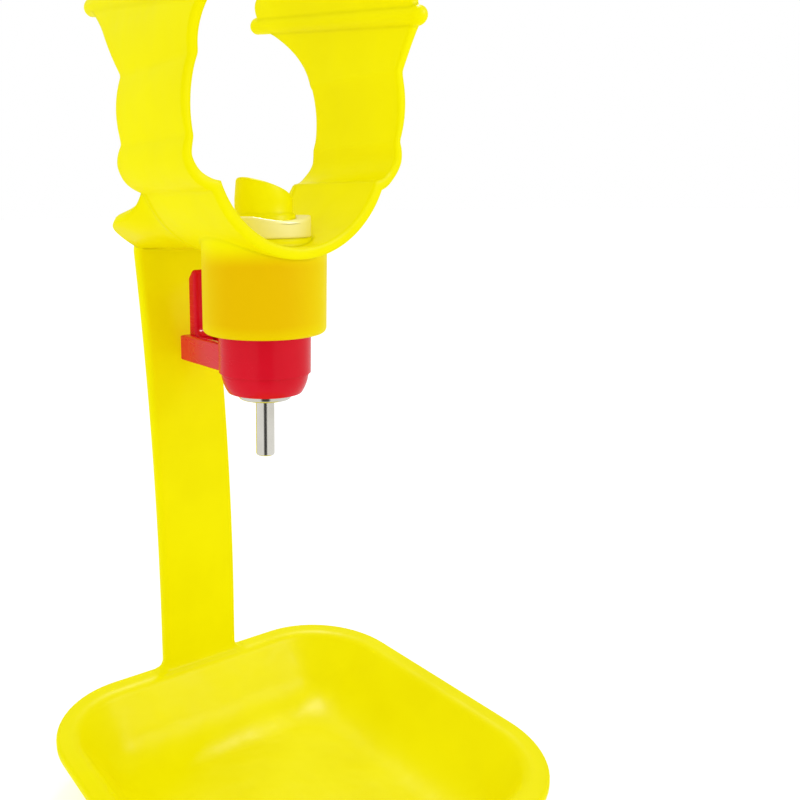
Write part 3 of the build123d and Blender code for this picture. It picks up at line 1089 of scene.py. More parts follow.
def capsule(
    start: np.ndarray, end: np.ndarray, radius: float, steps: int = 32, end_rows: int = 9,
    side_rows: int = 10,
) -> np.ndarray:
    """Round rod with spherical ends: circles whose radius follows a half circle at each end.

    Args:
        start: middle of the first end's sphere.
        end: middle of the last end's sphere.
        radius: the rod's radius.
        steps: places round the rod.
        end_rows: circles of each end.
        side_rows: circles between the ends.

    Returns:
        Grid of points.
    """
    axis = unit(end - start)
    side = unit(np.cross(axis, UPRIGHT))
    up = np.cross(side, axis)
    length = np.linalg.norm(end - start)
    quarter = np.linspace(0.0, np.pi / 2, end_rows)
    body = np.linspace(0.0, length, side_rows + 2)[1:-1]
    along = np.concatenate((-radius * np.cos(quarter), body, length + radius * np.sin(quarter)))
    width = radius * np.concatenate((np.sin(quarter), np.ones(side_rows), np.cos(quarter)))
    angle = np.linspace(0.0, math.tau, steps, endpoint=False)[None, :, None]
    ring = np.cos(angle) * side + np.sin(angle) * up
    return start + along[:, None, None] * axis + width[:, None, None] * ring


@dataclass(frozen=True)
class Piece:
    """Grids of points, in millimetres, that become one closed mesh.

    Attributes:
        name: the piece's name.
        body: the body that it rides.
        node: the solid that it stands for.
        slot: its material slot.
        skins: grids whose columns meet round them, each with whether its rows meet too.
        sharp_deg: edges that turn more than this stay crisp.
        merge: points closer than this, in metres, become one.
        speck: edges shorter than this, in metres, are taken out.
    """

    name: str
    body: str
    node: str
    slot: Slot
    skins: list[tuple[np.ndarray, bool]]
    sharp_deg: float = 50.0
    merge: float = 2e-6
    speck: float = 1e-7

    def faces(self, shape: tuple[int, int], first: int, rows_meet: bool) -> np.ndarray:
        """Corner numbers of a grid's faces: each point with its next along both ways.

        Args:
            shape: the grid's rows and columns.
            first: number of its first point.
            rows_meet: whether its last row meets its first.

        Returns:
            Four numbers for each face.
        """
        index = np.arange(shape[0] * shape[1]).reshape(shape) + first
        index = np.hstack((index, index[:, :1]))
        if rows_meet:
            index = np.vstack((index, index[:1]))
        corners = (index[:-1, :-1], index[1:, :-1], index[1:, 1:], index[:-1, 1:])
        return np.stack(corners, axis=2).reshape(-1, 4)

    def mesh(self) -> bpy.types.Mesh:
        """Create the mesh: grids joined, doubles merged, ends closed and faces turned outward.

        Returns:
            The mesh.
        """
        points, faces, first = [], [], 0
        for grid, rows_meet in self.skins:
            points.append(grid.reshape(-1, 3) * MM)
            faces.append(self.faces(grid.shape[:2], first, rows_meet))
            first += len(points[-1])
        corners = np.vstack(faces)
        mesh = bpy.data.meshes.new(self.name)
        mesh.vertices.add(first)
        mesh.vertices.foreach_set("co", np.vstack(points).astype(np.float32).ravel())
        mesh.loops.add(corners.size)
        mesh.loops.foreach_set("vertex_index", corners.astype(np.int32).ravel())
        mesh.polygons.add(len(corners))
        mesh.polygons.foreach_set("loop_start", np.arange(0, corners.size, 4, dtype=np.int32))
        mesh.update(calc_edges=True)
        shape = bmesh.new()
        shape.from_mesh(mesh)
        bmesh.ops.remove_doubles(shape, verts=shape.verts, dist=self.merge)
        bmesh.ops.dissolve_degenerate(shape, edges=shape.edges, dist=self.speck)
        open_edges = [edge for edge in shape.edges if edge.is_boundary]
        bmesh.ops.holes_fill(shape, edges=open_edges, sides=0)
        bmesh.ops.recalc_face_normals(shape, faces=shape.faces)
        shape.to_mesh(mesh)
        shape.free()
        mesh.shade_smooth()
        mesh.set_sharp_from_angle(angle=math.radians(self.sharp_deg))
        return mesh

    def build(self, finishes: Finishes) -> bpy.types.Object:
        """Create the piece's object, dressed, riding its body and standing for its solid.

        Args:
            finishes: the material of each slot.

        Returns:
            The object.
        """
        mesh = self.mesh()
        mesh.materials.append(finishes[self.slot])
        made = bpy.data.objects.new(self.name, mesh)
        bpy.context.scene.collection.objects.link(made)
        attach(made, self.body)
        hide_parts(self.node)
        LOG.info("%s has %d faces and stands for %s", self.name, len(mesh.polygons), self.node)
        return made


class SubAssembly:
    """A part of the drinker that lists its pieces and builds them."""

    def pieces(self) -> list[Piece]:
        """The pieces, with their grids worked out."""
        raise NotImplementedError

    def build(self, finishes: Finishes) -> list[bpy.types.Object]:
        """Create every piece.

        Args:
            finishes: the material of each slot.

        Returns:
            The pieces' objects.
        """
        return [piece.build(finishes) for piece in self.pieces()]


# Yellow moulding


@dataclass(frozen=True)
class PipeClip:
    """Trough under the pipe and the two arms that grip it, one wall bent to shape.

    Each arm's section is a chain of arcs, given as shares of the pipe's radius: the middle and the
    end of each arc. Places of the side outline are along the pipe and up. Below the blend's top
    the inner face is read a little higher, so that both faces reach their feet together.
    """

    pipe_radius: float = 16.0
    trough_radius: float = 13.0
    trough_wall: float = 1.55
    trough_axis: float = -6.4
    outer_foot: float = -12.2
    inner_foot: float = -10.9
    blend_top: float = -6.0
    outer_arcs: Arcs = (
        ((0.974, -0.681), (1.069, -0.531)), ((1.072, -0.456), (1.040, -0.356)),
        ((1.083, -0.119), (1.026, 0.206)), ((1.053, 0.406), (1.022, 0.625)),
        ((0.981, 0.800), (0.913, 0.969)), ((0.888, 1.069), (0.913, 1.219)),
    )
    inner_arcs: Arcs = (
        ((0.922, -0.609), (0.997, -0.488)), ((0.990, -0.419), (0.980, -0.363)),
        ((1.006, -0.125), (0.944, 0.219)), ((0.966, 0.406), (0.934, 0.625)),
        ((0.881, 0.800), (0.816, 0.969)), ((0.794, 1.069), (0.825, 1.219)),
    )
    near_edge: Rows = ((-9.2, -12.2), (-8.75, -10.9), (-9.25, 2.0))
    far_edge: Rows = ((9.9, -12.2), (10.6, -10.9), (9.4, -4.5), (9.4, 3.0))
    near_flare: Pair = (-10.095, 5.575)
    far_flare: Pair = (12.94, 7.945)
    near_head: Pair = (-12.5, 9.15)
    far_head: Pair = (21.2, 13.75)
    near_top: Pair = (-12.5, 14.2)
    far_top: Pair = (21.2, 18.8)
    head_corner: float = 2.0
    bead_radius: float = 1.3
    bead_near: Pair = (-12.6, 9.8)
    bead_far: Pair = (22.3, 14.4)
    section_points: int = 260
    section_passes: int = 8
    edge_passes: int = 3
    lower_rows: int = 70
    upper_rows: int = 60
    trough_rows: int = 48
    columns: int = 26
    rim: SoftEdge = SoftEdge()

    def face(self, foot: Pair, arcs: Arcs) -> np.ndarray:
        """One face of an arm's section: arcs end to end, their meetings softened.

        Args:
            foot: the face's lowest point.
            arcs: its arcs.

        Returns:
            Points in X and Z, from the foot upward.
        """
        here = np.asarray(foot)
        parts = [here[None]]
        for middle, end in arcs:
            stop = self.pipe_radius * np.asarray(end)
            parts.append(arc_through(here, self.pipe_radius * np.asarray(middle), stop)[1:])
            here = stop
        return softened(evenly(np.vstack(parts), self.section_points), self.section_passes)

    def faces(self) -> tuple[np.ndarray, np.ndarray]:
        """The outer and the inner face of the right arm's section.

        A foot lies on the trough's circle: its X is the root of the radius squared less the square
        of its height under the trough's axis.

        Returns:
            Both faces' points in X and Z.
        """
        outer_radius = self.trough_radius + self.trough_wall
        outer_x = math.sqrt(outer_radius**2 - (self.trough_axis - self.outer_foot) ** 2)
        inner_x = math.sqrt(self.trough_radius**2 - (self.trough_axis - self.inner_foot) ** 2)
        return (
            self.face((outer_x, self.outer_foot), self.outer_arcs),
            self.face((inner_x, self.inner_foot), self.inner_arcs),
        )

    def edges(self) -> tuple[np.ndarray, np.ndarray, np.ndarray]:
        """Ends of an arm's rows, from foot to top.

        Below, the two edges are walked evenly. Above, they follow the widening curve, the upright
        head and its rounded corner, and the last rows lie close to the sloping top.

        Returns:
            The near ends, the far ends, and the share of the thickness of each row.
        """
        lines = []
        for low, flare, head, top, other in (
            (self.near_edge, self.near_flare, self.near_head, self.near_top, self.far_top),
            (self.far_edge, self.far_flare, self.far_head, self.far_top, self.near_top),
        ):
            lower = softened(evenly(np.asarray(low), self.lower_rows), self.edge_passes)
            curve = arc_through(low[-1], flare, head)
            corner = rounded_line((head, top, other), (0.0, self.head_corner, 0.0), guard=0.0)
            upper = np.vstack((curve, corner[1:-1]))
            places, share = self.rim.towards(distances(upper)[-1], self.upper_rows)
            lines.append(np.vstack((lower[:-1], placed(upper, places))))
        return *lines, np.concatenate((np.ones(self.lower_rows - 1), share))

    def wall(self) -> np.ndarray:
        """Trough and both arms as loops round the wall.

        A row of an arm runs straight from the near edge to the far edge, and each of its points
        takes its X from the section at its own height. A row of the trough keeps one angle.

        Returns:
            Grid of points.
        """
        outer_face, inner_face = self.faces()
        near, far, shares = self.edges()
        run = far - near
        lengths = np.linalg.norm(run, axis=1)
        places, factor = self.rim.across(lengths, self.columns)
        part = places / lengths[:, None]
        y = near[:, :1] + run[:, :1] * part
        z = near[:, 1:] + run[:, 1:] * part
        below = np.clip((self.blend_top - z) / (self.blend_top - self.outer_foot), 0, 1)
        inner_z = z + (self.inner_foot - self.outer_foot) * below
        outer_arm = joined(np.interp(z, outer_face[:, 1], outer_face[:, 0]), y, z)
        inner_arm = joined(np.interp(inner_z, inner_face[:, 1], inner_face[:, 0]), y, inner_z)
        turn = np.linspace(-1.0, 1.0, self.trough_rows + 2)[1:-1, None]
        sides = []
        for arm, radius, foot in (
            (outer_arm, self.trough_radius + self.trough_wall, self.outer_foot),
            (inner_arm, self.trough_radius, self.inner_foot),
        ):
            angle = turn * math.acos((self.trough_axis - foot) / radius)
            height = self.trough_axis - radius * np.cos(angle)
            trough = joined(radius * np.sin(angle), y[:1], height)
            sides.append(np.concatenate(((arm * np.array(MIRROR))[::-1], trough, arm)))
        share = shares[:, None] * factor
        whole = np.vstack((share[::-1], np.tile(factor, (self.trough_rows, 1)), share))
        return wall_loops(*sides, whole)

    def bead(self, side: float) -> np.ndarray:
        """Sloping bead along an arm's head: a round rod through the middle of the wall.

        Args:
            side: 1 for the right arm and -1 for the left.

        Returns:
            Grid of points.
        """
        ends = []
        for y, z in (self.bead_near, self.bead_far):
            x = sum(np.interp(z, line[:, 1], line[:, 0]) for line in self.faces()) / 2
            ends.append(np.array((side * x, y, z)))
        return capsule(ends[0], ends[1], self.bead_radius)

    def skins(self) -> list[np.ndarray]:
        """Every grid of the clip."""
        return [self.wall(), self.bead(-1.0), self.bead(1.0)]


@dataclass(frozen=True)
class Apron:
    """Gutter that narrows from the trough's end, over its wings, down to the strap's head.

    Each station gives the distance along the pipe, the half width, the height of the tips, the
    height of the hollow's middle and the wall's thickness. The gutter starts inside the trough's
    wall, where its first row is drawn in, and ends inside the strap.
    """

    stations: tuple[tuple[float, ...], ...] = (
        (9.9, 12.2, -10.9, -19.4, 1.55),
        (15.0, 13.4, -14.2, -18.6, 1.5),
        (22.0, 11.4, -16.4, -18.9, 1.6),
        (24.41, 7.6, -18.33, -18.62, 1.9),
    )
    start_runs: Triple = (0.9, 0.72, 0.0)
    start_cover: float = -0.3
    end_run: float = 0.5
    cover: float = 0.03
    rows: int = 44
    columns: int = 40
    rim: SoftEdge = SoftEdge()

    def skin(self) -> np.ndarray:
        """The gutter as loops round its wall.

        The sizes follow the cubic through the four stations. The hollow is the circle through both
        tips and the middle, and the outer face is the same circle grown by the wall.

        Returns:
            Grid of points.
        """
        known = np.asarray(self.stations)
        start, end = known[0, 0], known[-1, 0]
        rows = np.linspace(start, end, self.rows)[1:]
        y = np.concatenate((start - np.array(self.start_runs), rows, (end + self.end_run,)))
        held = np.clip(y, start, end)
        sizes = np.zeros((len(y), 4))
        for index in range(len(known)):
            others = np.delete(known[:, 0], index)
            weight = np.prod((held[:, None] - others) / (known[index, 0] - others), axis=1)
            sizes += weight[:, None] * known[index, 1:]
        half, tip, floor, wall = sizes.T
        rise = tip - floor
        radius = (half**2 + rise**2) / (2 * rise)
        reach = np.arctan2(half, radius - rise)
        lengths = reach * (radius + wall / 2)
        places, factor = self.rim.across(2 * lengths, self.columns)
        angle = (places / lengths[:, None] - 1.0) * reach[:, None]
        axis = (floor + radius)[:, None]
        cover = np.full(len(y), self.cover)
        cover[0] = self.start_cover
        faces = []
        for grown in (wall + cover, -cover):
            far = (radius + grown)[:, None]
            faces.append(joined(far * np.sin(angle), y[:, None], axis - far * np.cos(angle)))
        return wall_loops(*faces, factor)


@dataclass(frozen=True)
class Strap:
    """Hanging strap: one rounded section carried up a straight foot, a long arc and a bent head.

    The foot stands in the cup's rim. Over the rim its sides and front flare, and the front also
    sinks.
    """

    width: float = 14.0
    thickness: float = 2.2
    edge: float = 0.9
    foot: Pair = (21.2, -93.0)
    bow_start: float = -83.5
    bow_end: float = -20.8
    bow_radius: float = 356.0
    bow_points: int = 60
    head_bend: float = 1.7
    head_points: int = 14
    head_run: float = 0.6
    rim: float = -91.6
    foot_round: float = 1.6
    foot_points: int = 9
    foot_power: float = 1.5
    foot_sink: float = 0.7
    sink_half: float = 0.1
    straight_points: int = 6
    front_share: float = 0.35
    front_drop: float = 0.22

    def line(self) -> np.ndarray:
        """Middle line: straight, along the long arc, round the bend and level.

        The bend's circle touches the long arc at its top, and its radius is the square of the run
        to its end over twice the run's part towards its middle.

        Returns:
            Points in Y and Z.
        """
        turn = (self.bow_end - self.bow_start) / self.bow_radius
        angle = np.linspace(0.0, turn, self.bow_points)
        bow = joined(
            self.foot[0] + self.bow_radius * (1 - np.cos(angle)),
            self.bow_start + self.bow_radius * np.sin(angle),
        )
        top = bow[-1]
        run = np.array((-self.head_bend, self.head_bend))
        normal = np.array((-math.cos(turn), math.sin(turn)))
        radius = run @ run / (2 * run @ normal)
        centre = top + radius * normal
        swing = 2 * math.acos(unit(run) @ np.array((math.sin(turn), math.cos(turn))))
        bend = turn - np.linspace(0.0, swing, self.head_points)[1:]
        corner = centre + radius * joined(np.cos(bend), -np.sin(bend))
        end = top + run - np.array((self.head_run, 0.0))
        share = np.linspace(0.0, 1.0, self.foot_points) ** self.foot_power
        rise = self.rim + self.foot_round * share
        sunk = self.rim - self.foot_sink
        low = (self.foot[1], sunk - self.sink_half, sunk + self.sink_half)
        straight = np.linspace(rise[-1], self.bow_start, self.straight_points)[1:-1]
        heights = np.concatenate((low, rise, straight))
        return np.vstack((joined(self.foot[0], heights), bow, corner, end))

    def skin(self) -> np.ndarray:
        """The section's corners are rounded, and each point is set off from the middle line.

        It moves across by its own width and out along the line's normal by its own depth. Over the
        cup's rim the sides and the front flare by a quarter circle: the round less the root of the
        height times twice the round less the height. The front also sinks, by its drop times the
        flare's share squared, so that it meets the curve of the rim.

        Returns:
            Grid of points.
        """
        line = self.line()
        tangent = np.gradient(line, axis=0)
        tangent /= np.linalg.norm(tangent, axis=1)[:, None]
        normal = joined(tangent[:, 1], -tangent[:, 0])
        x, out = self.width / 2, self.thickness / 2
        corners = ((-x, -out), (x, -out), (x, out), (-x, out))
        section = rounded_line(corners, (self.edge,) * 4, steps=7, guard=0.1)
        over = np.clip(line[:, 1] - self.rim, 0.0, self.foot_round)
        flare = self.foot_round - np.sqrt(over * (2 * self.foot_round - over))
        flare = np.where(line[:, 1] < self.rim - self.foot_sink, 0.0, flare)[:, None]
        front = section[:, 1] < 0
        depth = section[:, 1] - self.front_share * front * flare
        place = line[:, None] + depth[..., None] * normal[:, None]
        sink = self.front_drop * front * (flare / self.foot_round) ** 2
        return joined(section[:, 0] * (1.0 + flare / x), place[..., 0], place[..., 1] - sink)


@dataclass(frozen=True)
class DripCup:
    """Open cup: one profile carried round a rounded square that narrows downward."""

    width: float = 60.8
    length: float = 58.1
    back: float = 22.4
    corner: float = 14.6
    rim: float = -91.6
    depth: float = 11.8
    wall: float = 1.6
    slope_deg: float = 34.0
    lip_width: float = 1.2
    lip_height: float = 1.8
    outer_round: float = 5.0
    inner_round: float = 9.0
    rim_round: float = 2.2
    lip_rounds: Triple = (0.35, 0.8, 0.45)
    base_corner: float = 5.5
    floor_rings: int = 9
    corner_steps: int = 18
    side_steps: int = 14

    def outline(self, inset: np.ndarray, shrink: np.ndarray) -> np.ndarray:
        """Rounded squares in X and Y, shrunk towards the middle.

        A corner's radius falls with the inset. Its arc is followed by even steps of a side.

        Args:
            inset: how far each outline lies inside the cup's own.
            shrink: its scale about the middle.

        Returns:
            Points in X and Y, one row for each outline.
        """
        half = joined(self.width / 2 - inset, self.length / 2 - inset)
        radius = np.maximum(self.corner - inset, self.base_corner)[:, None]
        quarter = np.linspace(0.0, np.pi / 2, self.corner_steps + 1)
        arcs = []
        for turn, sign_x, sign_y in ((0.0, 1, 1), (0.5, -1, 1), (1.0, -1, -1), (1.5, 1, -1)):
            angle = quarter + turn * np.pi
            arcs.append(joined(
                sign_x * (half[:, :1] - radius) + radius * np.cos(angle),
                sign_y * (half[:, 1:] - radius) + radius * np.sin(angle),
            ))
        loops = []
        share = np.linspace(0.0, 1.0, self.side_steps + 1)[1:-1, None]
        for arc, following in zip(arcs, arcs[1:] + arcs[:1]):
            start, end = arc[:, -1:], following[:, :1]
            loops += [arc, start + (end - start) * share]
        return np.concatenate(loops, axis=1) * shrink[:, None, None]

    def skin(self) -> np.ndarray:
        """Outside from the base's middle up to the lip, over the rim and down inside.

        The profile is a line of insets and heights with rounded corners.

        Returns:
            Grid of points.
        """
        lean = math.tan(math.radians(self.slope_deg))
        base = self.rim - self.depth
        floor = base + self.wall
        under_lip = self.rim - self.lip_height
        base_inset = self.lip_width + self.depth * lean
        under_inset = self.lip_width + self.lip_height * lean
        rim_inset = self.lip_width + self.wall / math.cos(math.radians(self.slope_deg))
        floor_inset = rim_inset + (self.rim - floor) * lean
        flat = max(base_inset, floor_inset) + self.inner_round
        profile = rounded_line(
            (
                (flat, base), (base_inset, base), (under_inset, under_lip), (0.0, under_lip),
                (0.0, self.rim), (rim_inset, self.rim), (floor_inset, floor), (flat, floor),
            ),
            (0.0, self.outer_round, *self.lip_rounds, self.rim_round, self.inner_round, 0.0),
            steps=9, guard=0.15,
        )
        rings = np.linspace(1.0, 0.0, self.floor_rings + 1)[1:]
        ends = np.ones(len(rings))
        inset = np.concatenate((flat * ends, profile[:, 0], flat * ends))
        height = np.concatenate((base * ends, profile[:, 1], floor * ends))
        shrink = np.concatenate((rings[::-1], np.ones(len(profile)), rings))
        plan = self.outline(inset, shrink) + (0.0, self.back - self.length / 2)
        return joined(plan[..., 0], plan[..., 1], height[:, None])


@dataclass(frozen=True)
class Collar:
    """Collar that holds the nipple, with its socket, and the spigot on its seat above.

    The softened edges are rows of offsets, outward and up. Those of the neck and the shoulder are
    from the neck's top, those of the tip from the spigot's top, and those of the mouth from the
    bore at that top.
    """

    radius: float = 8.7
    low: float = -31.5
    edge: float = 0.8
    bore: float = 1.8
    socket_radius: float = 6.61
    socket_top: float = -23.3
    socket_step: float = 0.3
    trough_axis: float = -6.4
    trough_middle: float = 13.8
    groove_rise: float = 0.3
    groove: tuple[float, ...] = (-28.43, -27.83, -27.17, -26.57)
    seat_radius: float = 6.8
    seat: float = -18.3
    seat_low: float = -20.2
    neck_radius: float = 4.4
    neck_top: float = -15.1
    neck_edge: Rows = ((0.0, -0.15), (-0.12, 0.0))
    spigot_radius: float = 4.0
    shoulder: Rows = ((0.05, 0.02), (0.0, 0.12))
    spigot_tip_radius: float = 3.8
    spigot_straight: float = -13.05
    spigot_top: float = -11.45
    tip_edge: Rows = (
        (0.0, -0.45), (-0.02, -0.30), (-0.10, -0.13), (-0.22, -0.04), (-0.38, 0.0), (-0.55, 0.0),
    )
    mouth_edge: Rows = ((0.40, 0.0), (0.25, 0.0), (0.08, -0.08), (0.0, -0.25), (0.0, -0.6))
    slant_deg: float = 20.5
    slant_start: float = 0.04
    straight_guard: float = 0.2
    bore_run: float = 1.0
    upper_rows: int = 14
    cap_rows: int = 6

    def trough_height(self, x: np.ndarray) -> np.ndarray:
        """Middle of the trough's wall: the axis less the root of radius squared less X squared."""
        return self.trough_axis - np.sqrt(self.trough_middle**2 - x**2)

    def skin(self) -> np.ndarray:
        """Turned collar whose top follows the middle of the trough's wall.

        Returns:
            Grid of points.
        """
        low, socket = self.low, self.socket_radius
        under = rounded_line(
            ((self.bore, low), (socket, low), (self.radius, low), (self.radius, self.socket_top)),
            (0.0, 0.0, self.edge, 0.0), steps=7,
        )[1:]
        wall = turned(under)
        x, y, z = wall[-1].T
        rise = np.linspace(0.0, 1.0, self.upper_rows)[1:, None]
        upper = joined(x, y, z + (self.trough_height(x) - z) * rise)
        inward = np.linspace(1.0, self.bore / self.radius, self.cap_rows)[1:, None]
        cap = joined(x * inward, y * inward, self.trough_height(x * inward))
        groove_radius = socket + self.groove_rise
        g0, g1, g2, g3 = self.groove
        inside = np.array((
            (self.bore, self.socket_top), (socket, self.socket_top), (socket, g3),
            (groove_radius, g2), (groove_radius, g1), (socket, g0),
            (socket, low + self.socket_step),
        ))
        return np.concatenate((wall, upper, cap, turned(inside)))

    def spigot(self) -> np.ndarray:
        """Turned seat, neck and spigot, whose rows lean over into its slanted top.

        Each row has a lean from 0 to 1, and its points drop by the lean times X times the slant.

        Returns:
            Grid of points.
        """
        upright = np.vstack((
            (self.bore, self.seat_low), (self.seat_radius, self.seat_low),
            (self.seat_radius, self.seat), (self.neck_radius, self.seat),
            beside(self.neck_radius, self.neck_top, self.neck_edge),
            beside(self.spigot_radius, self.neck_top, self.shoulder),
            (self.spigot_radius, self.spigot_straight - self.straight_guard),
            (self.spigot_radius, self.spigot_straight),
        ))
        slanted = np.vstack((
            beside(self.spigot_tip_radius, self.spigot_top, self.tip_edge),
            beside(self.bore, self.spigot_top, self.mouth_edge),
        ))
        lean = np.concatenate((np.zeros(len(upright)), np.ones(len(slanted)), (0.0,)))
        lean[len(upright) - 1] = self.slant_start
        end = (self.bore, self.spigot_straight - self.bore_run)
        grid = turned(np.vstack((upright, slanted, end)))
        grid[..., 2] -= lean[:, None] * grid[..., 0] * math.tan(math.radians(self.slant_deg))
        return grid


@dataclass(frozen=True)
class YellowMoulding(SubAssembly):
    """Clip, apron, strap, cup, collar and spigot, moulded as one piece."""

    clip: PipeClip = PipeClip()
    apron: Apron = Apron()
    strap: Strap = Strap()
    cup: DripCup = DripCup()
    collar: Collar = Collar()

    def pieces(self) -> list[Piece]:
        """The moulding."""
        return [Piece("yellow_moulding", "housing", "drip_cup", Slot.YELLOW, [
            *[(skin, False) for skin in self.clip.skins()], (self.apron.skin(), False),
            (self.strap.skin(), False), (self.cup.skin(), False),
            (self.collar.skin(), True), (self.collar.spigot(), True),
        ])]


# Seal


@dataclass(frozen=True)
class SealRing(SubAssembly):
    """Soft ring round the spigot's neck, flat on top with a hollow for the pipe.

    The top's edges are rows of offsets, outward from the radius or the bore and up from the top.
    """

    radius: float = 6.5
    bore: float = 4.45
    low: float = -18.3
    flat_top: float = -15.35
    side_height: float = 1.0
    pipe_radius: float = 16.0
    edge: float = 0.28
    outer_edge: Rows = (
        (0.0, -0.45), (0.0, -0.28), (-0.08, -0.09), (-0.28, 0.0), (-0.45, 0.0), (-0.8, 0.0),
    )
    bore_edge: Rows = (
        (0.8, 0.0), (0.4, 0.0), (0.2, 0.0), (0.05, -0.06), (0.0, -0.2), (0.0, -0.4),
    )

    def top(self, x: np.ndarray) -> np.ndarray:
        """Height of the top at an X: the lower of the flat and the pipe's underside."""
        return np.minimum(self.flat_top, -np.sqrt(self.pipe_radius**2 - x**2))

    def skin(self) -> np.ndarray:
        """Turned ring whose upper rows lie at the top's height, or a little below at its edges.

        Returns:
            Grid of points.
        """
        side_top = (self.radius, self.flat_top - self.side_height)
        below = turned(rounded_line(
            ((self.bore, self.low), (self.radius, self.low), side_top),
            (0.0, self.edge, 0.0), steps=5, guard=0.1,
        ))
        upper = turned(np.vstack((
            beside(self.radius, 0.0, self.outer_edge), beside(self.bore, 0.0, self.bore_edge),
        )))
        upper[..., 2] += self.top(upper[..., 0])
        return np.concatenate((below, upper))

    def pieces(self) -> list[Piece]:
        """The ring."""
        return [Piece("seal_ring", "housing", "pipe_seal", Slot.SEAL, [(self.skin(), True)])]


# Nipple


@dataclass(frozen=True)
class NippleBody(SubAssembly):
    """Red body with its stepped bore, snap bead and cone, and the bracket with its prong."""

    radius: float = 6.55
    top: float = -24.5
    cone: float = -37.1
    tip: float = -40.0
    tip_radius: float = 5.3
    tip_edge: float = 0.12
    cone_step: float = 0.3
    cone_shares: Pair = (0.40, 0.61)
    edge: float = 0.3
    snap_rise: float = 0.3
    snap_edge: float = 0.1
    snap: tuple[float, ...] = (-28.35, -27.75, -27.25, -26.65)
    bush_radius: float = 3.8
    bush_top: float = -35.8
    chamber_radius: float = 3.6
    seat: float = -29.5
    seat_radius: float = 4.2
    bracket_root: float = 3.275
    bracket_reach: float = 20.0
    bracket_root_half: float = 5.3
    bracket_end_half: float = 2.8
    bracket_rib: float = 1.5
    bracket_end_wall: float = 2.4
    bracket_depth: float = 4.1
    bracket_root_top: float = -32.9
    bracket_end_top: float = -34.0
    bracket_corners: Pair = (0.5, 0.3)
    bracket_columns: int = 6
    prong_width: float = 2.6
    prong_thickness: float = 2.3
    prong_top: float = -23.7
    prong_nose: float = 1.3
    prong_tip: float = 1.1
    prong_root: float = 1.2
    prong_root_share: float = 0.98
    prong_rounds: Triple = (1.0, 0.7, 0.5)
    prong_inset: float = 0.3
    prong_rim: SoftEdge = SoftEdge(0.6, 2.2, 6, 0.12)
    rim: SoftEdge = SoftEdge(0.3, 2.3, 4, 0.12)
    sharp_deg: float = 28.0

    def barrel(self) -> np.ndarray:
        """Turned body: down the outside, round the cone's curve, in at the tip and up the bore.

        Returns:
            Grid of points.
        """
        root = self.radius - self.cone_step
        width, height = self.cone_shares
        middle = (
            root - (root - self.tip_radius) * width, self.cone - (self.cone - self.tip) * height,
        )
        curve = arc_through((root, self.cone), middle, (self.tip_radius, self.tip), steps=16)
        s0, s1, s2, s3 = self.snap
        shank = rounded_line(
            (
                (self.seat_radius, self.top), (self.radius, self.top), (self.radius, s3),
                (self.radius + self.snap_rise, s2), (self.radius + self.snap_rise, s1),
                (self.radius, s0), (self.radius, self.cone), (root, self.cone),
            ),
            (0.0, self.edge, *[self.snap_edge] * 4, 0.0, 0.0), steps=4, guard=0.06,
        )
        tip = rounded_line(
            (curve[-2], curve[-1], (self.bush_radius, self.tip)), (0.0, self.tip_edge, 0.0),
            steps=4, guard=0.0,
        )[1:]
        bore = np.array((
            (self.bush_radius, self.bush_top), (self.chamber_radius, self.bush_top),
            (self.chamber_radius, self.seat), (self.seat_radius, self.seat),
        ))
        return turned(np.vstack((shank, curve[1:-2], tip, bore)))

    def bracket_rise(self, y: np.ndarray) -> np.ndarray:
        """Height of the bracket's top at a distance along the pipe: a straight slope."""
        fall = (self.bracket_end_top - self.bracket_root_top) * y / self.bracket_reach
        return self.bracket_root_top + fall

    def bracket(self) -> np.ndarray:
        """Two ribs and the end wall: one band bent round two corners, between two sloping heights.

        Returns:
            Grid of points.
        """
        root, reach = self.bracket_root, self.bracket_reach
        half, end = self.bracket_root_half, self.bracket_end_half
        taper = (half - end) / (reach - root)
        inner_y = reach - self.bracket_end_wall
        inner_root = half - self.bracket_rib
        inner_end = end + taper * self.bracket_end_wall - self.bracket_rib
        faces = []
        for root_x, end_x, end_y, corner in (
            (half, end, reach, self.bracket_corners[0]),
            (inner_root, inner_end, inner_y, self.bracket_corners[1]),
        ):
            plan = rounded_line(
                ((-root_x, root), (-end_x, end_y), (end_x, end_y), (root_x, root)),
                (0.0, corner, corner, 0.0),
            )
            depths = np.full(len(plan), self.bracket_depth)
            places, factor = self.rim.across(depths, self.bracket_columns)
            x, y = plan[:, :1], plan[:, 1:]
            faces.append(joined(x, y, self.bracket_rise(y) - places))
        return wall_loops(*faces, factor)

    def prong(self) -> np.ndarray:
        """Upright prong: its side outline carried across, drawn in at both faces' rounded edges.

        Returns:
            Grid of points.
        """
        back = self.bracket_reach - self.prong_inset
        front = back - self.prong_thickness
        low = self.bracket_end_top - self.bracket_depth / 2
        foot = self.bracket_end_top
        outline = rounded_line(
            (
                (back, low), (back, self.prong_top - self.prong_nose),
                (front + self.prong_tip, self.prong_top), (front, self.prong_top),
                (front, foot), (front - self.prong_root, foot), (front - self.prong_root, low),
            ),
            (0.0, *self.prong_rounds, self.prong_root * self.prong_root_share, 0.0, 0.0),
            guard=0.1,
        )
        ahead = np.roll(outline, -1, axis=0) - np.roll(outline, 1, axis=0)
        ahead /= np.linalg.norm(ahead, axis=1)[:, None]
        inward = joined(-ahead[:, 1], ahead[:, 0])
        depth, share = self.prong_rim.samples()
        half = self.prong_width / 2
        x = np.concatenate((-half + depth, (half - depth)[::-1]))
        inset = self.prong_rim.reach * (1.0 - np.concatenate((share, share[::-1])))
        place = outline + inset[:, None, None] * inward
        return joined(x[:, None], place[..., 0], place[..., 1])

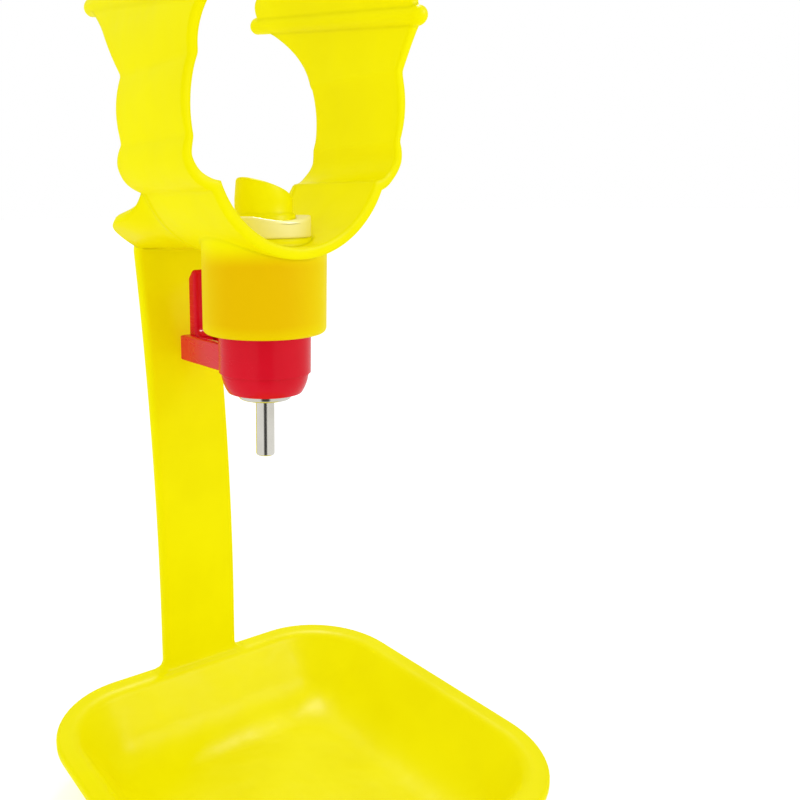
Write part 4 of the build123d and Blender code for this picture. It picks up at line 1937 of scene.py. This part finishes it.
    def pieces(self) -> list[Piece]:
        """The body with its bracket and prong."""
        skins = [(self.barrel(), True), (self.bracket(), False), (self.prong(), False)]
        return [Piece(
            "red_nipple", "housing", "nipple_body", Slot.RED, skins, sharp_deg=self.sharp_deg
        )]


@dataclass(frozen=True)
class TriggerValve(SubAssembly):
    """Steel bush in the nipple's tip, and the pin with its round head and thin tail."""

    bush_throat: float = 1.95
    bush_radius: float = 3.77
    bush_top: float = -35.8
    bush_low: float = -41.0
    bush_mouth: float = 2.6
    bush_rounds: tuple[float, ...] = (0.1, 0.1, 0.35, 0.15)
    bush_steps: int = 96
    pin_radius: float = 1.35
    pin_end: float = -49.4
    pin_edge: float = 0.25
    pin_steps: int = 64
    stem_gaps: Pair = (0.6, 0.1)
    stem_rows: int = 10
    head_radius: float = 2.3
    head_rows: int = 28
    rest_gap: float = 0.03
    tail_radius: float = 0.65
    tail_edge: Pair = (0.1, 0.12)
    tail_top: float = -29.06

    def bush(self) -> np.ndarray:
        """Turned bush, its hole wider below, its outer edge rounded.

        Returns:
            Grid of points.
        """
        return turned(rounded_line(
            (
                (self.bush_throat, self.bush_top), (self.bush_radius, self.bush_top),
                (self.bush_radius, self.bush_low), (self.bush_mouth, self.bush_low),
            ),
            self.bush_rounds, steps=5, guard=0.08,
        ), self.bush_steps)

    def head_middle(self) -> float:
        """Height of the head's middle, where the sphere rests on the upper edge of the hole."""
        reach = self.head_radius + self.rest_gap
        return self.bush_top + math.sqrt(reach**2 - self.bush_throat**2)

    def pin(self) -> np.ndarray:
        """Turned pin: chamfered end, straight stem, round head and tail, from the end upward.

        Returns:
            Grid of points.
        """
        middle, ball, stem_radius = self.head_middle(), self.head_radius, self.pin_radius
        start = math.asin(stem_radius / ball) - np.pi / 2
        stop = np.pi / 2 - math.asin(self.tail_radius / ball)
        angle = np.linspace(start, stop, self.head_rows)
        head = joined(ball * np.cos(angle), middle + ball * np.sin(angle))
        end = rounded_line(
            ((0.0, self.pin_end), (stem_radius, self.pin_end), (stem_radius, middle)),
            (0.0, self.pin_edge, 0.0), steps=5, guard=0.08,
        )[:-1]
        low, high = self.pin_end + self.stem_gaps[0], head[0, 1] - self.stem_gaps[1]
        stem = joined(stem_radius, np.linspace(low, high, self.stem_rows))
        inset, drop = self.tail_edge
        tail = beside(self.tail_radius, self.tail_top, (
            (0.0, -drop), (-inset, 0.0), (-self.tail_radius, 0.0),
        ))
        return turned(np.vstack((end, stem, head, tail)), self.pin_steps)

    def pieces(self) -> list[Piece]:
        """The bush and the pin."""
        return [
            Piece("steel_bush", "housing", "pin_bush", Slot.STEEL, [(self.bush(), True)]),
            Piece("steel_pin", "pin", "trigger_pin", Slot.STEEL, [(self.pin(), False)]),
        ]


# Whole drinker


def dress_nodes(finishes: Finishes) -> None:
    """Give every carried-over solid its finish.

    Args:
        finishes: the material of each slot.
    """
    slots = {row["node"]: Slot(row["material_slot"]) for row in frame["record"]["subparts"]}
    for name, node in frame["nodes"].items():
        node.data.materials.clear()
        node.data.materials.append(finishes[slots[name]])
        LOG.info("%s is dressed as %s", name, slots[name].value)


def main() -> None:
    """Build the studio, the camera and the drinker, in order."""
    logging.basicConfig(level=logging.INFO)
    Studio().build()
    PhotoCamera().build()
    finishes = build_finishes()
    dress_nodes(finishes)
    for part in (YellowMoulding(), SealRing(), NippleBody(), TriggerValve()):
        part.build(finishes)


if __name__ == "__main__":
    main()
